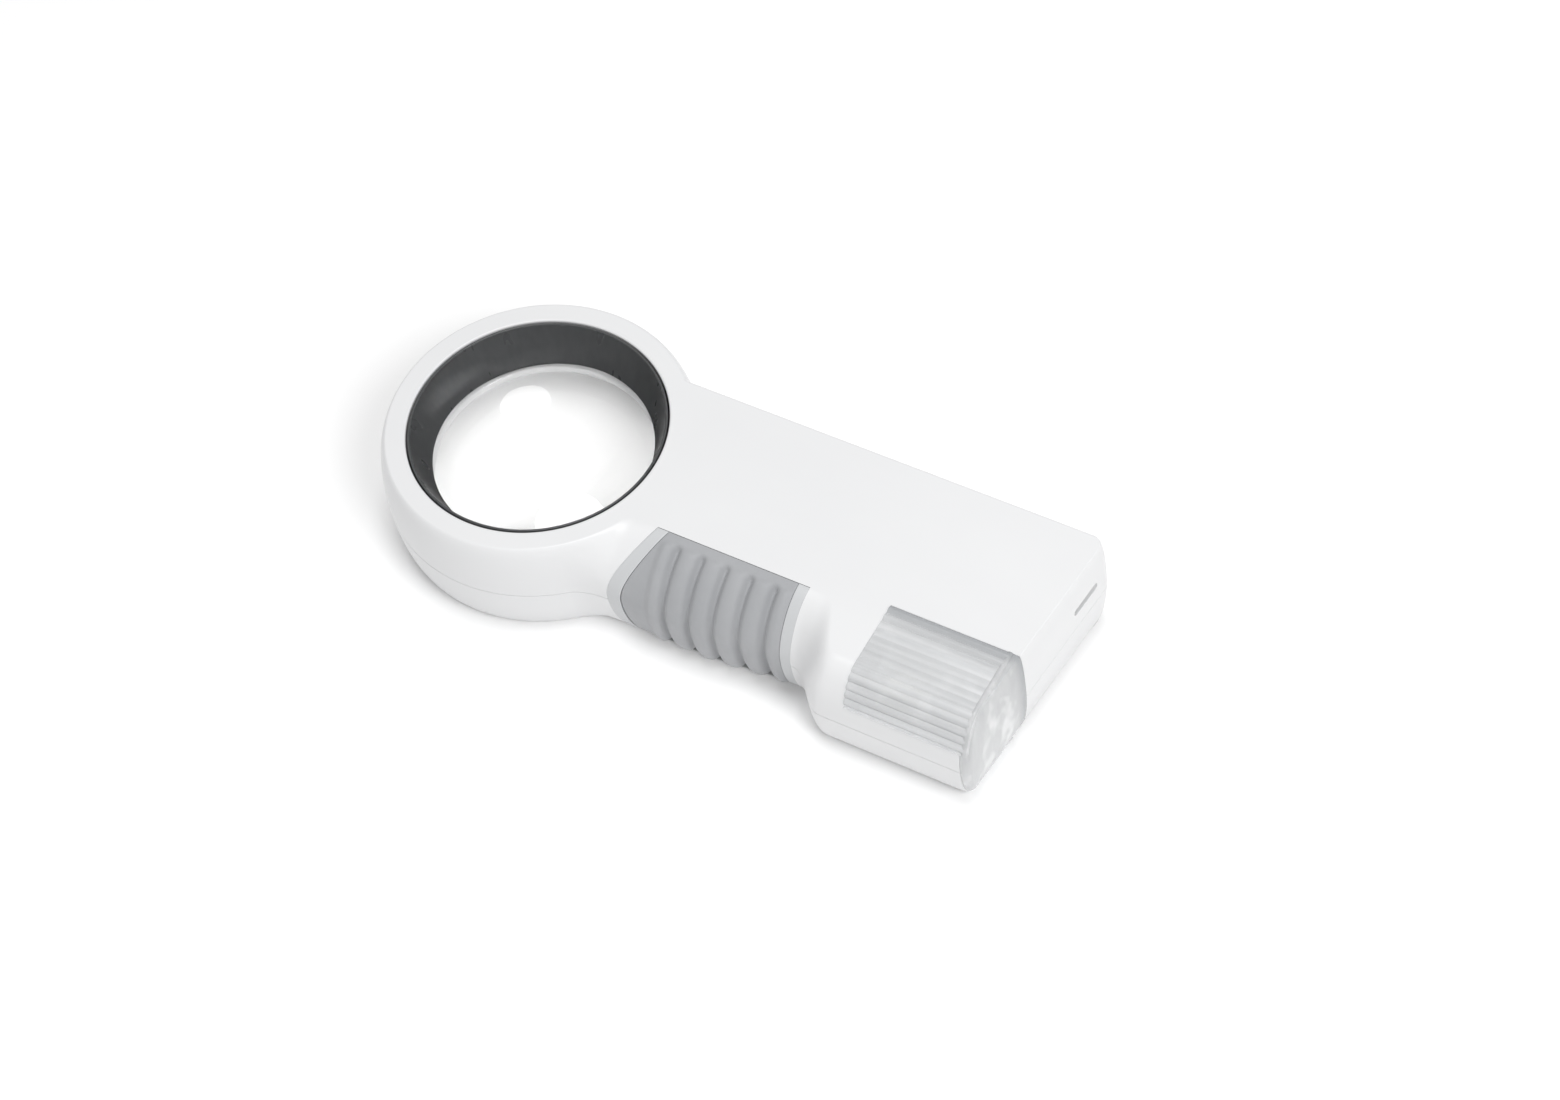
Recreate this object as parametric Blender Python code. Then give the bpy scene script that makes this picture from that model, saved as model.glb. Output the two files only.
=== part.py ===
"""Illuminated low vision magnifier: a round lens head on a flat battery handle.

Lengths are metres and +Z is up. The shapes are drawn in lens coordinates, whose origin is on
the lens axis at the resting plane, with +X along the handle. An empty then moves them, so that
the world's origin is the bottom centre of the whole object.
"""
import math

import bmesh
import bpy
from mathutils import Vector

MM = 0.001
GAP = 0.3 * MM

# Overall form
HEIGHT = 24.1 * MM
WIDEST_Z = 12.5 * MM
SPLIT_Z = 11.5 * MM
RING_RADIUS = 31.6 * MM
RING_TOP_INSET = 2.2 * MM
RING_BOTTOM_INSET = 2.6 * MM
BACK_Y = 22.9 * MM
BACK_TOP_INSET = 1.95 * MM
BACK_BOTTOM_INSET = 4.5 * MM
WAIST_Y = -22.7 * MM
WAIST_NARROW_Y = -21.2 * MM
WAIST_TOP_Y = -11.4 * MM
BLOCK_Y = -28.5 * MM
BLOCK_TOP_Y = -21.9 * MM
FRONT_BOTTOM_INSET = 4.3 * MM
STEP_START_X = 66.5 * MM
STEP_END_X = 76.0 * MM
STEP_TOP_START_X = 70.0 * MM
STEP_TOP_END_X = 77.0 * MM
END_X = 111.0 * MM
END_SLANT = 0.082
END_SQUARE_Y = 21.0 * MM
END_TOP_INSET = 0.9 * MM
END_BOTTOM_INSET = 2.2 * MM
FRONT_CORNER_RADIUS = 2.0 * MM
BACK_CORNER_RADIUS = 4.0 * MM
SHOULDER_POWER = 1.7
NECK_ANGLE = -52
NECK_POINTS = 4
RING_POINTS = 37
WALL = 2.0 * MM
FLOOR = 2.4 * MM
LENS_X = -(END_X + END_SLANT * (BACK_Y - END_SQUARE_Y) - RING_RADIUS) / 2

# Lens head
BORE_RADIUS = 25.6 * MM
SLEEVE_TOP = HEIGHT - 0.2 * MM
SLEEVE_LIP_RADIUS = 21.7 * MM
SLEEVE_SEAT_RADIUS = 22.6 * MM
SLEEVE_FLANGE_RADIUS = 27.4 * MM
SLEEVE_BOTTOM = 9.6 * MM
LENS_RADIUS = 22.3 * MM
LENS_EDGE_TOP = 15.0 * MM
LENS_EDGE_BOTTOM = 12.8 * MM
LENS_SAG = 4.0 * MM
CAVITY_RADIUS = 33.6 * MM

# Reading light, in a pocket through the head's wall
POCKET_WIDTH = 8.4 * MM
POCKET_BOTTOM = 3.6 * MM
POCKET_TOP = 8.9 * MM
LED_Z = 6.2 * MM

# Grip
GRIP_ARC_RADIUS = 35.5 * MM
GRIP_RIGHT_X = 66.2 * MM
GRIP_BACK_Y = -11.3 * MM
GRIP_BOTTOM = 1.2 * MM
TOE_BACK_Y = -16.2 * MM
TRIM_WIDTH = 2.0 * MM
TRIM_DEPTH = 2.4 * MM
PAD_THICKNESS = 2.2 * MM
PAD_LEFT_GAP = 0.5 * MM
LEVER_THICKNESS = 1.4 * MM
HINGE_Y = -14.6 * MM
HINGE_Z = 16.8 * MM
HINGE_PIN_RADIUS = 1.0 * MM
PIN_CLEARANCE = 0.05 * MM
HINGE_LEFT_X = 32.9 * MM
HINGE_RIGHT_X = 67.7 * MM
POST_THICKNESS = 1.4 * MM
KNUCKLE_RADIUS = 2.0 * MM
GROOVE_COUNT = 5
GROOVE_FIRST_X = 39.3 * MM
GROOVE_PITCH = 5.2 * MM
GROOVE_DEPTH = 0.7 * MM
GROOVE_HALF_WIDTH = 0.9 * MM

# Lamp cover on the corner of the end block
COVER_LEFT_X = 81.5 * MM
COVER_CAP_X = 105.2 * MM
COVER_BACK_Y = -8.5 * MM
COVER_SILL_Z = 16.8 * MM
COVER_THICKNESS = 2.0 * MM
RIB_PITCH = 1.9 * MM
RIB_HEIGHT = 0.5 * MM

# Battery bay
CELL_RADIUS = 7.1 * MM
CELL_LENGTH = 50.0 * MM
CELL_Z = 12.0 * MM
CELL_Y = (-3.6 * MM, 11.1 * MM)
TRAY_LOW = (35.2 * MM, -12.1 * MM, 6.5 * MM)
TRAY_HIGH = (92.4 * MM, 19.6 * MM, 20.4 * MM)
TRAY_WALL = 1.0 * MM
CONTACT_THICKNESS = 0.5 * MM
CONTACT_HALF = 5.0 * MM
SPRING_LENGTH = 2.9 * MM
DOOR_LEFT_X = 36.5 * MM
DOOR_Y = (-11.8 * MM, 17.2 * MM)
DOOR_FLANGE = 0.8 * MM
DOOR_LIP_Z = 1.1 * MM

# Case screws, driven from below; all but the first stand in bosses
SCREW_PLACES = ((26.6 * MM, -14.9 * MM), (31.0 * MM, 17.0 * MM), (77.8 * MM, -20.6 * MM))
SCREW_HEAD_RADIUS = 1.9 * MM
SCREW_HEAD_HEIGHT = 1.4 * MM
SCREW_SHANK_RADIUS = 0.85 * MM
SCREW_TIP_Z = 17.6 * MM
SCREW_SEAT_Z = 6.0 * MM
HEAD_HOLE_RADIUS = 2.3 * MM
SHANK_HOLE_RADIUS = 1.3 * MM
PILOT_HOLE_RADIUS = 1.2 * MM
UPPER_BOSS_RADIUS = 3.0 * MM
LOWER_BOSS_RADIUS = 3.4 * MM

LEAD_RADIUS = 0.35 * MM
LEAD_SPACING = 1.2 * MM

# Lanyard slot in the end wall
SLOT_Y = (8.5 * MM, 16.5 * MM)
SLOT_Z = (15.5 * MM, 17.1 * MM)

# Loose reach of cutters beyond what they cut
BEYOND = 5 * MM
OUTSIDE_Y = -27.0 * MM


# ---------------------------------------------------------------- scene and materials

def clear_scene():
    for item in list(bpy.data.objects):
        bpy.data.objects.remove(item, do_unlink=True)


def make_material(name, colour, roughness, metallic=0.0, alpha=1.0):
    material = bpy.data.materials.new(name)
    material.use_nodes = True
    shader = material.node_tree.nodes["Principled BSDF"]
    shader.inputs["Base Color"].default_value = (*colour, 1.0)
    shader.inputs["Roughness"].default_value = roughness
    shader.inputs["Metallic"].default_value = metallic
    shader.inputs["Alpha"].default_value = alpha
    return material


def make_empty(name, location, parent=None):
    empty = bpy.data.objects.new(name, None)
    empty.location = location
    empty.parent = parent
    bpy.context.collection.objects.link(empty)
    return empty


def add_object(name, mesh_data, parent, material=None, smooth_angle=35):
    """Turn a bmesh drawn in lens coordinates into an object under its parent empty."""
    bmesh.ops.recalc_face_normals(mesh_data, faces=mesh_data.faces)
    mesh = bpy.data.meshes.new(name)
    mesh_data.to_mesh(mesh)
    mesh_data.free()
    item = bpy.data.objects.new(name, mesh)
    bpy.context.collection.objects.link(item)
    item.parent = parent
    if parent.parent is not None:
        item.location = -Vector(parent.location)
    if material is not None:
        mesh.materials.append(material)
    mesh.shade_smooth()
    mesh.set_sharp_from_angle(angle=math.radians(smooth_angle))
    return item


def add_cutter(name, mesh_data, parent):
    cutter = add_object(name, mesh_data, parent)
    cutter.hide_render = True
    cutter.display_type = "WIRE"
    return cutter


def combine(item, other, operation):
    modifier = item.modifiers.new(other.name, "BOOLEAN")
    modifier.operation = operation
    modifier.object = other
    modifier.solver = "EXACT"


# ---------------------------------------------------------------- mesh building

def box_mesh(low, high):
    mesh_data = bmesh.new()
    bmesh.ops.create_cube(mesh_data, size=1.0)
    for vert in mesh_data.verts:
        vert.co = Vector([low[k] + (vert.co[k] + 0.5) * (high[k] - low[k]) for k in range(3)])
    return mesh_data


def lofted(loops):
    """Skin a stack of equally long loops and close it with a face at each end."""
    mesh_data = bmesh.new()
    rows = [[mesh_data.verts.new(point) for point in loop] for loop in loops]
    count = len(rows[0])
    for lower, upper in zip(rows, rows[1:]):
        for k in range(count):
            after = (k + 1) % count
            mesh_data.faces.new((lower[k], lower[after], upper[after], upper[k]))
    mesh_data.faces.new(list(reversed(rows[0])))
    mesh_data.faces.new(rows[-1])
    return mesh_data


def prism_z(outline, low, high):
    return lofted([[(x, y, z) for x, y in outline] for z in (low, high)])


def prism_x(outline, low, high):
    return lofted([[(x, y, z) for y, z in outline] for x in (low, high)])


def turned(profile, centre, axis="Z", segments=48):
    """Turn a closed (radius, height) outline about an axis through the centre."""
    mesh_data = bmesh.new()
    rows = []
    for k in range(segments):
        angle = 2 * math.pi * k / segments
        row = []
        for radius, height in profile:
            across = radius * math.cos(angle)
            along = radius * math.sin(angle)
            point = {"Z": (across, along, height), "X": (height, across, along),
                     "Y": (along, height, across)}[axis]
            row.append(mesh_data.verts.new(Vector(centre) + Vector(point)))
        rows.append(row)
    count = len(profile)
    for k in range(segments):
        here, there = rows[k], rows[(k + 1) % segments]
        for j in range(count):
            after = (j + 1) % count
            mesh_data.faces.new((here[j], here[after], there[after], there[j]))
    bmesh.ops.remove_doubles(mesh_data, verts=mesh_data.verts, dist=0.0005 * MM)
    return mesh_data


def cylinder(radius, low, high, centre, axis="Z", segments=24):
    return turned([(0, low), (radius, low), (radius, high), (0, high)], centre, axis, segments)


def tube(points, radius, sides=6):
    """A round wire along a smooth curve through the given points."""
    path = smooth_path(points, 4)
    loops = []
    side = Vector((0, 0, 1))
    for k, point in enumerate(path):
        ahead = path[min(k + 1, len(path) - 1)]
        behind = path[max(k - 1, 0)]
        tangent = (ahead - behind).normalized()
        side = (side - tangent * side.dot(tangent)).normalized()
        across = tangent.cross(side)
        angles = [2 * math.pi * j / sides for j in range(sides)]
        loops.append([point + radius * (math.cos(a) * side + math.sin(a) * across) for a in angles])
    return lofted(loops)


def smooth_path(points, steps):
    """Points on a Catmull-Rom curve through the given ones."""
    knots = [Vector(point) for point in points]
    knots = [2 * knots[0] - knots[1]] + knots + [2 * knots[-1] - knots[-2]]
    path = []
    for before, start, end, after in zip(knots, knots[1:], knots[2:], knots[3:]):
        for k in range(steps):
            t = k / steps
            path.append(0.5 * ((2 * start) + (end - before) * t
                               + (2 * before - 5 * start + 4 * end - after) * t * t
                               + (3 * start - before - 3 * end + after) * t ** 3))
    path.append(knots[-2])
    return path


# ---------------------------------------------------------------- the casing's outer form

def smooth_step(value, low, high):
    t = min(max((value - low) / (high - low), 0.0), 1.0)
    return t * t * (3 - 2 * t)


def arc(centre, radius, start, end, count):
    """Points on an arc, angles in degrees, both ends included."""
    angles = [math.radians(start + (end - start) * k / (count - 1)) for k in range(count)]
    return [(centre[0] + radius * math.cos(a), centre[1] + radius * math.sin(a)) for a in angles]


def line(start, end, count):
    """Points on a straight line, its last one left to the next stretch."""
    return [(start[0] + (end[0] - start[0]) * k / count,
             start[1] + (end[1] - start[1]) * k / count) for k in range(count)]


def front_y(x):
    """The front side's widest line: a waist for the fingers, then the step to the end block."""
    waist = WAIST_Y + (WAIST_NARROW_Y - WAIST_Y) * smooth_step(x, 46 * MM, 64 * MM)
    return waist + (BLOCK_Y - waist) * smooth_step(x, STEP_START_X, STEP_END_X)


def front_top_y(x):
    """Where the flat top begins to fall away towards the front."""
    return WAIST_TOP_Y + (BLOCK_TOP_Y - WAIST_TOP_Y) * smooth_step(x, STEP_TOP_START_X,
                                                                   STEP_TOP_END_X)


def end_x(y):
    """The end face is slightly slanted: it stands at END_X only at END_SQUARE_Y."""
    return END_X - END_SLANT * (END_SQUARE_Y - y)


def angle_at(radius, y):
    return math.degrees(math.asin(y / radius))


def front_stations():
    left = [28 + 4.2 * k for k in range(9)]
    step = [65 + 1.3 * k for k in range(11)]
    return [x * MM for x in left + step + [84, 94]]


def handle_rim(inset_front, inset_back, inset_end, radius, front_line, extra):
    """The handle's outline from the head's front round the end and back to the head."""
    front = [(x, front_line(x) + inset_front) for x in front_stations()]
    corner = FRONT_CORNER_RADIUS + extra
    front_edge = front_line(100 * MM) + inset_front
    centre = (end_x(front_edge) - inset_end - corner, front_edge + corner)
    back_edge = BACK_Y - inset_back
    back_corner = max(BACK_CORNER_RADIUS - inset_back, 1.2 * MM)
    back_centre = (end_x(back_edge) - inset_end - back_corner, back_edge - back_corner)
    points = front + arc(centre, corner, -90, 0, 4)
    first = points[-1]
    last = (back_centre[0] + back_corner, back_centre[1])
    points += line(first, last, 4)[1:]
    points += arc(back_centre, back_corner, 0, 90, 5)
    meeting = (math.sqrt(radius ** 2 - back_edge ** 2), back_edge)
    points += line(points[-1], meeting, 5)[1:]
    return points


def neck(start_angle, radius, target, count):
    """Lead the head's circle into the handle's front line, leaving out both ends."""
    angle = math.radians(start_angle)
    start = Vector((radius * math.cos(angle), radius * math.sin(angle)))
    heading = Vector((-math.sin(angle), math.cos(angle)))
    reach = (target[1] - start.y) / heading.y
    bend = start + heading * reach * 0.97
    points = []
    for k in range(1, count + 1):
        t = k / (count + 1)
        points.append(tuple((1 - t) ** 2 * start + 2 * t * (1 - t) * bend
                            + t * t * Vector(target)))
    return points


def casing_outlines(inset=0.0):
    """The widest, the top and the bottom outline of the casing, drawn in step."""
    start = front_stations()[0]
    radius = RING_RADIUS - inset
    top_radius = radius - RING_TOP_INSET
    bottom_radius = radius - RING_BOTTOM_INSET
    back = BACK_Y - inset
    wide = arc((0, 0), radius, angle_at(radius, back), 360 + NECK_ANGLE, RING_POINTS)
    wide += neck(NECK_ANGLE, radius, (start, front_y(start) + inset), NECK_POINTS)
    wide += handle_rim(inset, inset, inset, radius, front_y, 0)

    top_back = back - BACK_TOP_INSET
    top_turn = angle_at(top_radius, WAIST_TOP_Y + inset)
    top = arc((0, 0), top_radius, angle_at(top_radius, top_back), 360 + NECK_ANGLE, RING_POINTS)
    top += arc((0, 0), top_radius, NECK_ANGLE, top_turn, NECK_POINTS + 2)[1:-1]
    top += handle_rim(inset, inset + BACK_TOP_INSET, inset + END_TOP_INSET, top_radius,
                      front_top_y, -0.8 * MM)

    low_back = back - BACK_BOTTOM_INSET
    low_front = inset + FRONT_BOTTOM_INSET
    low_turn = angle_at(bottom_radius, front_y(start) + low_front)
    low = arc((0, 0), bottom_radius, angle_at(bottom_radius, low_back), 360 + NECK_ANGLE,
              RING_POINTS)
    low += arc((0, 0), bottom_radius, NECK_ANGLE, low_turn, NECK_POINTS + 2)[1:-1]
    low += handle_rim(low_front, inset + BACK_BOTTOM_INSET, inset + END_BOTTOM_INSET,
                      bottom_radius, front_y, 0)
    return wide, top, low


def cavity_outlines():
    """The hollow of the handle, which starts at an arc round the head's solid wall."""
    outlines = []
    rims = (
        (front_y, WALL, WALL, WALL),
        (front_top_y, WALL, WALL + BACK_TOP_INSET, WALL + END_TOP_INSET),
        (front_y, WALL + FRONT_BOTTOM_INSET, WALL + BACK_BOTTOM_INSET, WALL + END_BOTTOM_INSET),
    )
    for front_line, front, back, end in rims:
        rim = handle_rim(front, back, end, CAVITY_RADIUS, front_line, 0)
        rim = [point for point in rim if point[0] > 36 * MM]
        first_y = front_line(35 * MM) + front
        last_y = BACK_Y - back
        wall_arc = arc((0, 0), CAVITY_RADIUS, angle_at(CAVITY_RADIUS, last_y),
                       angle_at(CAVITY_RADIUS, first_y), 9)
        outlines.append(wall_arc + rim)
    return outlines


def section_share(t, power):
    """How far a side has moved from its widest line to its rim: 0 at t = 0 and 1 at t = 1."""
    return 1 - max(1 - t ** power, 0.0) ** (1 / power)


def shoulder_power(point):
    """The shoulder is flatter along the finger waist."""
    x, y = point
    if y > 0:
        return 2.0
    fade = smooth_step(x, 24 * MM, 34 * MM) * (1 - smooth_step(x, 66 * MM, 76 * MM))
    return 2.0 + (SHOULDER_POWER - 2.0) * fade


def form_loop(outlines, z, bottom, top):
    """The form's outline at one height."""
    wide, upper, lower = outlines
    loop = []
    for centre, high, low in zip(wide, upper, lower):
        if z >= WIDEST_Z:
            share = section_share((z - WIDEST_Z) / (top - WIDEST_Z), shoulder_power(centre))
            rim = high
        else:
            share = section_share((WIDEST_Z - z) / (WIDEST_Z - bottom), 2.0)
            rim = low
        loop.append((centre[0] + (rim[0] - centre[0]) * share,
                     centre[1] + (rim[1] - centre[1]) * share, z))
    return loop


def form_mesh(outlines, bottom, top, low_cut=None, high_cut=None):
    """The rounded form between two heights, with its levels closer near the rims."""
    steps = (0, 30, 50, 65, 78, 90)
    heights = [WIDEST_Z - (WIDEST_Z - bottom) * math.sin(math.radians(a)) for a in reversed(steps)]
    heights += [WIDEST_Z + (top - WIDEST_Z) * math.sin(math.radians(a)) for a in steps[1:]]
    low_cut = bottom if low_cut is None else low_cut
    high_cut = top if high_cut is None else high_cut
    margin = 0.2 * MM
    inner = [z for z in heights if low_cut + margin < z < high_cut - margin]
    levels = [low_cut] + inner + [high_cut]
    return lofted([form_loop(outlines, z, bottom, top) for z in levels])


# ---------------------------------------------------------------- casing

def grip_outline(arc_radius, right_x, back_y):
    """Plan of the grip: its left end follows the round head."""
    left = arc((0, 0), arc_radius, angle_at(arc_radius, OUTSIDE_Y),
               angle_at(arc_radius, back_y), 8)
    return left + [(right_x, back_y), (right_x, OUTSIDE_Y)]


def cut_grip_recess(shell, frame):
    """Open the side for the grip; its toe stands on a ledge that stays in the lower shell."""
    notch = prism_z(grip_outline(GRIP_ARC_RADIUS, GRIP_RIGHT_X, GRIP_BACK_Y), 3.1 * MM, 27 * MM)
    combine(shell, add_cutter(shell.name + "_grip_cut", notch, frame), "DIFFERENCE")
    toe = prism_z(grip_outline(GRIP_ARC_RADIUS, GRIP_RIGHT_X, TOE_BACK_Y), GRIP_BOTTOM, 3.4 * MM)
    if shell.name == "lower_shell":
        combine(shell, add_cutter("lower_shell_toe_cut", toe, frame), "DIFFERENCE")


def cut_cover_window(shell, frame):
    """Open the end block where the lamp cover's cap and its ribbed skin sit."""
    far = END_X + BEYOND
    outside = BLOCK_Y - BEYOND
    above = HEIGHT + BEYOND
    cap = box_mesh((COVER_CAP_X, outside, -BEYOND), (far, COVER_BACK_Y, above))
    combine(shell, add_cutter(shell.name + "_cap_cut", cap, frame), "DIFFERENCE")
    if shell.name == "upper_shell":
        window = box_mesh((COVER_LEFT_X, outside, COVER_SILL_Z), (far + MM, COVER_BACK_Y, above))
        combine(shell, add_cutter("upper_shell_window_cut", window, frame), "DIFFERENCE")


def make_upper_shell(frame, material):
    form = form_mesh(casing_outlines(), 0, HEIGHT, low_cut=SPLIT_Z + GAP / 2)
    shell = add_object("upper_shell", form, frame, material)
    bore = cylinder(BORE_RADIUS, -BEYOND, HEIGHT + BEYOND, (0, 0, 0), segments=64)
    combine(shell, add_cutter("upper_shell_bore", bore, frame), "DIFFERENCE")
    hollow = form_mesh(cavity_outlines(), FLOOR, HEIGHT - WALL, low_cut=SPLIT_Z - MM)
    combine(shell, add_cutter("upper_shell_hollow", hollow, frame), "DIFFERENCE")
    for k, (x, y) in enumerate(SCREW_PLACES[1:]):
        boss = cylinder(UPPER_BOSS_RADIUS, SPLIT_Z + GAP, HEIGHT - MM, (x, y, 0), segments=20)
        combine(shell, add_cutter(f"upper_shell_boss_{k + 1}", boss, frame), "UNION")
    cut_grip_recess(shell, frame)
    cut_cover_window(shell, frame)
    for k, (x, y) in enumerate(SCREW_PLACES):
        hole = cylinder(PILOT_HOLE_RADIUS, SCREW_SEAT_Z, SCREW_TIP_Z + MM, (x, y, 0), segments=12)
        combine(shell, add_cutter(f"upper_shell_hole_{k + 1}", hole, frame), "DIFFERENCE")
    slot = box_mesh((END_X - 11 * MM, SLOT_Y[0], SLOT_Z[0]), (END_X + BEYOND, SLOT_Y[1], SLOT_Z[1]))
    combine(shell, add_cutter("upper_shell_lanyard_slot", slot, frame), "DIFFERENCE")
    return shell


def door_outline(clearance):
    """The door's section in Y and Z: a plate with a flange that runs above the shell's lips."""
    front, back = DOOR_Y
    low = -1 * MM if clearance == 0 else GAP
    high = FLOOR + 0.4 * MM if clearance == 0 else FLOOR
    lip = DOOR_LIP_Z + clearance
    return [
        (front + clearance, low), (back - clearance, low), (back - clearance, lip),
        (back + DOOR_FLANGE - clearance, lip), (back + DOOR_FLANGE - clearance, high),
        (front - DOOR_FLANGE + clearance, high), (front - DOOR_FLANGE + clearance, lip),
        (front + clearance, lip),
    ]


def make_lower_shell(frame, material):
    form = form_mesh(casing_outlines(), 0, HEIGHT, high_cut=SPLIT_Z - GAP / 2)
    shell = add_object("lower_shell", form, frame, material)
    bore = cylinder(BORE_RADIUS, -BEYOND, HEIGHT, (0, 0, 0), segments=64)
    combine(shell, add_cutter("lower_shell_bore", bore, frame), "DIFFERENCE")
    seat = cylinder(SLEEVE_FLANGE_RADIUS + GAP, SLEEVE_BOTTOM - GAP, HEIGHT, (0, 0, 0), segments=64)
    combine(shell, add_cutter("lower_shell_seat", seat, frame), "DIFFERENCE")
    hollow = form_mesh(cavity_outlines(), FLOOR, HEIGHT - WALL, high_cut=SPLIT_Z + MM)
    combine(shell, add_cutter("lower_shell_hollow", hollow, frame), "DIFFERENCE")
    for k, (x, y) in enumerate(SCREW_PLACES[1:]):
        boss = cylinder(LOWER_BOSS_RADIUS, MM, SPLIT_Z - GAP, (x, y, 0), segments=20)
        combine(shell, add_cutter(f"lower_shell_boss_{k + 1}", boss, frame), "UNION")
    cut_grip_recess(shell, frame)
    cut_cover_window(shell, frame)
    rooted = FLOOR - MM
    for side, x in (("left", HINGE_LEFT_X), ("right", HINGE_RIGHT_X - POST_THICKNESS)):
        post = box_mesh((x, HINGE_Y - 1.6 * MM, rooted),
                        (x + POST_THICKNESS, HINGE_Y + 1.6 * MM, HINGE_Z + 1.5 * MM))
        combine(shell, add_cutter(f"lower_shell_{side}_post", post, frame), "UNION")
    wall = box_mesh((COVER_LEFT_X + 0.6 * MM, -13.6 * MM, rooted),
                    (COVER_CAP_X - 0.2 * MM, -12.5 * MM, HEIGHT - WALL - 0.7 * MM))
    combine(shell, add_cutter("lower_shell_lamp_wall", wall, frame), "UNION")
    pin_hole = cylinder(HINGE_PIN_RADIUS + GAP, HINGE_LEFT_X - BEYOND, HINGE_RIGHT_X + BEYOND,
                        (0, HINGE_Y, HINGE_Z), "X", 12)
    combine(shell, add_cutter("lower_shell_pin_hole", pin_hole, frame), "DIFFERENCE")
    door = prism_x(door_outline(0), DOOR_LEFT_X, END_X + 2 * MM)
    combine(shell, add_cutter("lower_shell_door_cut", door, frame), "DIFFERENCE")
    pocket = box_mesh((BORE_RADIUS - MM, -POCKET_WIDTH / 2, POCKET_BOTTOM),
                      (CAVITY_RADIUS + MM, POCKET_WIDTH / 2, POCKET_TOP))
    combine(shell, add_cutter("lower_shell_light_pocket", pocket, frame), "DIFFERENCE")
    for k, (x, y) in enumerate(SCREW_PLACES):
        profile = [(0, -MM), (HEAD_HOLE_RADIUS, -MM), (HEAD_HOLE_RADIUS, SCREW_SEAT_Z),
                   (SHANK_HOLE_RADIUS, SCREW_SEAT_Z), (SHANK_HOLE_RADIUS, SPLIT_Z + MM),
                   (0, SPLIT_Z + MM)]
        hole = turned(profile, (x, y, 0), segments=16)
        combine(shell, add_cutter(f"lower_shell_hole_{k + 1}", hole, frame), "DIFFERENCE")
    return shell


# ---------------------------------------------------------------- lens head

def cap_profile(apex, edge, radius, steps):
    """Points on a spherical cap from the axis out to its edge."""
    sag = apex - edge
    ball = (radius ** 2 + sag ** 2) / (2 * abs(sag))
    sign = 1 if sag > 0 else -1
    points = []
    for k in range(steps + 1):
        r = radius * k / steps
        points.append((r, apex - sign * (ball - math.sqrt(ball ** 2 - r ** 2))))
    return points


def make_lens_head(frame, paint):
    upper = cap_profile(LENS_EDGE_TOP + LENS_SAG, LENS_EDGE_TOP, LENS_RADIUS, 7)
    lower = cap_profile(LENS_EDGE_BOTTOM - LENS_SAG, LENS_EDGE_BOTTOM, LENS_RADIUS, 7)
    lens = turned(upper + list(reversed(lower)), (0, 0, 0))
    add_object("lens", lens, frame, paint["lens"])

    sleeve_radius = BORE_RADIUS - GAP
    sleeve = [
        (sleeve_radius, SLEEVE_TOP), (sleeve_radius - 0.35 * MM, SLEEVE_TOP),
        (SLEEVE_LIP_RADIUS, 15.6 * MM), (SLEEVE_SEAT_RADIUS, 15.5 * MM),
        (SLEEVE_SEAT_RADIUS, SLEEVE_BOTTOM), (SLEEVE_FLANGE_RADIUS, SLEEVE_BOTTOM),
        (SLEEVE_FLANGE_RADIUS, SPLIT_Z - 0.6 * MM), (sleeve_radius, SPLIT_Z - 0.6 * MM),
    ]
    add_object("lens_sleeve", turned(sleeve, (0, 0, 0), segments=64), frame, paint["sleeve"])

    retainer = [(20.9 * MM, 9.9 * MM), (22.3 * MM, 9.9 * MM), (22.3 * MM, 12.4 * MM),
                (21.7 * MM, 12.4 * MM), (20.9 * MM, 11.6 * MM)]
    add_object("lens_retainer", turned(retainer, (0, 0, 0)), frame, paint["sleeve"])


def make_reading_light(frame, paint):
    half = POCKET_WIDTH / 2 - GAP
    low, high = POCKET_BOTTOM + GAP, POCKET_TOP - GAP
    window = box_mesh((26.4 * MM, -half, low), (27.9 * MM, half, high))
    add_object("light_window", window, frame, paint["clear"])
    add_object("reading_led", led_mesh(33.4 * MM, -1, 1.5 * MM, (0, LED_Z)), frame, paint["led"])
    board = box_mesh((33.7 * MM, -3.6 * MM, low), (34.6 * MM, 3.6 * MM, high))
    add_object("led_board", board, frame, paint["board"])


def led_mesh(base_x, direction, radius, centre):
    """A round LED with a flange at its base and a domed tip."""
    length = 2.2 * radius
    profile = [(0, 0), (radius * 1.18, 0), (radius * 1.18, radius * 0.4), (radius, radius * 0.4),
               (radius, length)]
    for k in range(1, 5):
        angle = math.radians(90 * k / 4)
        profile.append((radius * math.cos(angle), length + radius * math.sin(angle)))
    profile[-1] = (0, profile[-1][1])
    profile = [(r, direction * h) for r, h in profile]
    return turned(profile, (base_x, centre[0], centre[1]), "X", 16)


# ---------------------------------------------------------------- grip and its switch

def grip_layer(name, outline, low, outer, inner, parent, frame, material):
    """A piece of the casing's skin between two depths, inside a plan outline."""
    body = add_object(name, form_mesh(casing_outlines(outer), 0, HEIGHT - outer), parent, material)
    plan = add_cutter(name + "_plan", prism_z(outline, low, HEIGHT + MM), frame)
    combine(body, plan, "INTERSECT")
    core = add_cutter(name + "_core", form_mesh(casing_outlines(inner), 0, HEIGHT - inner), frame)
    combine(body, core, "DIFFERENCE")
    return body


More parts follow.
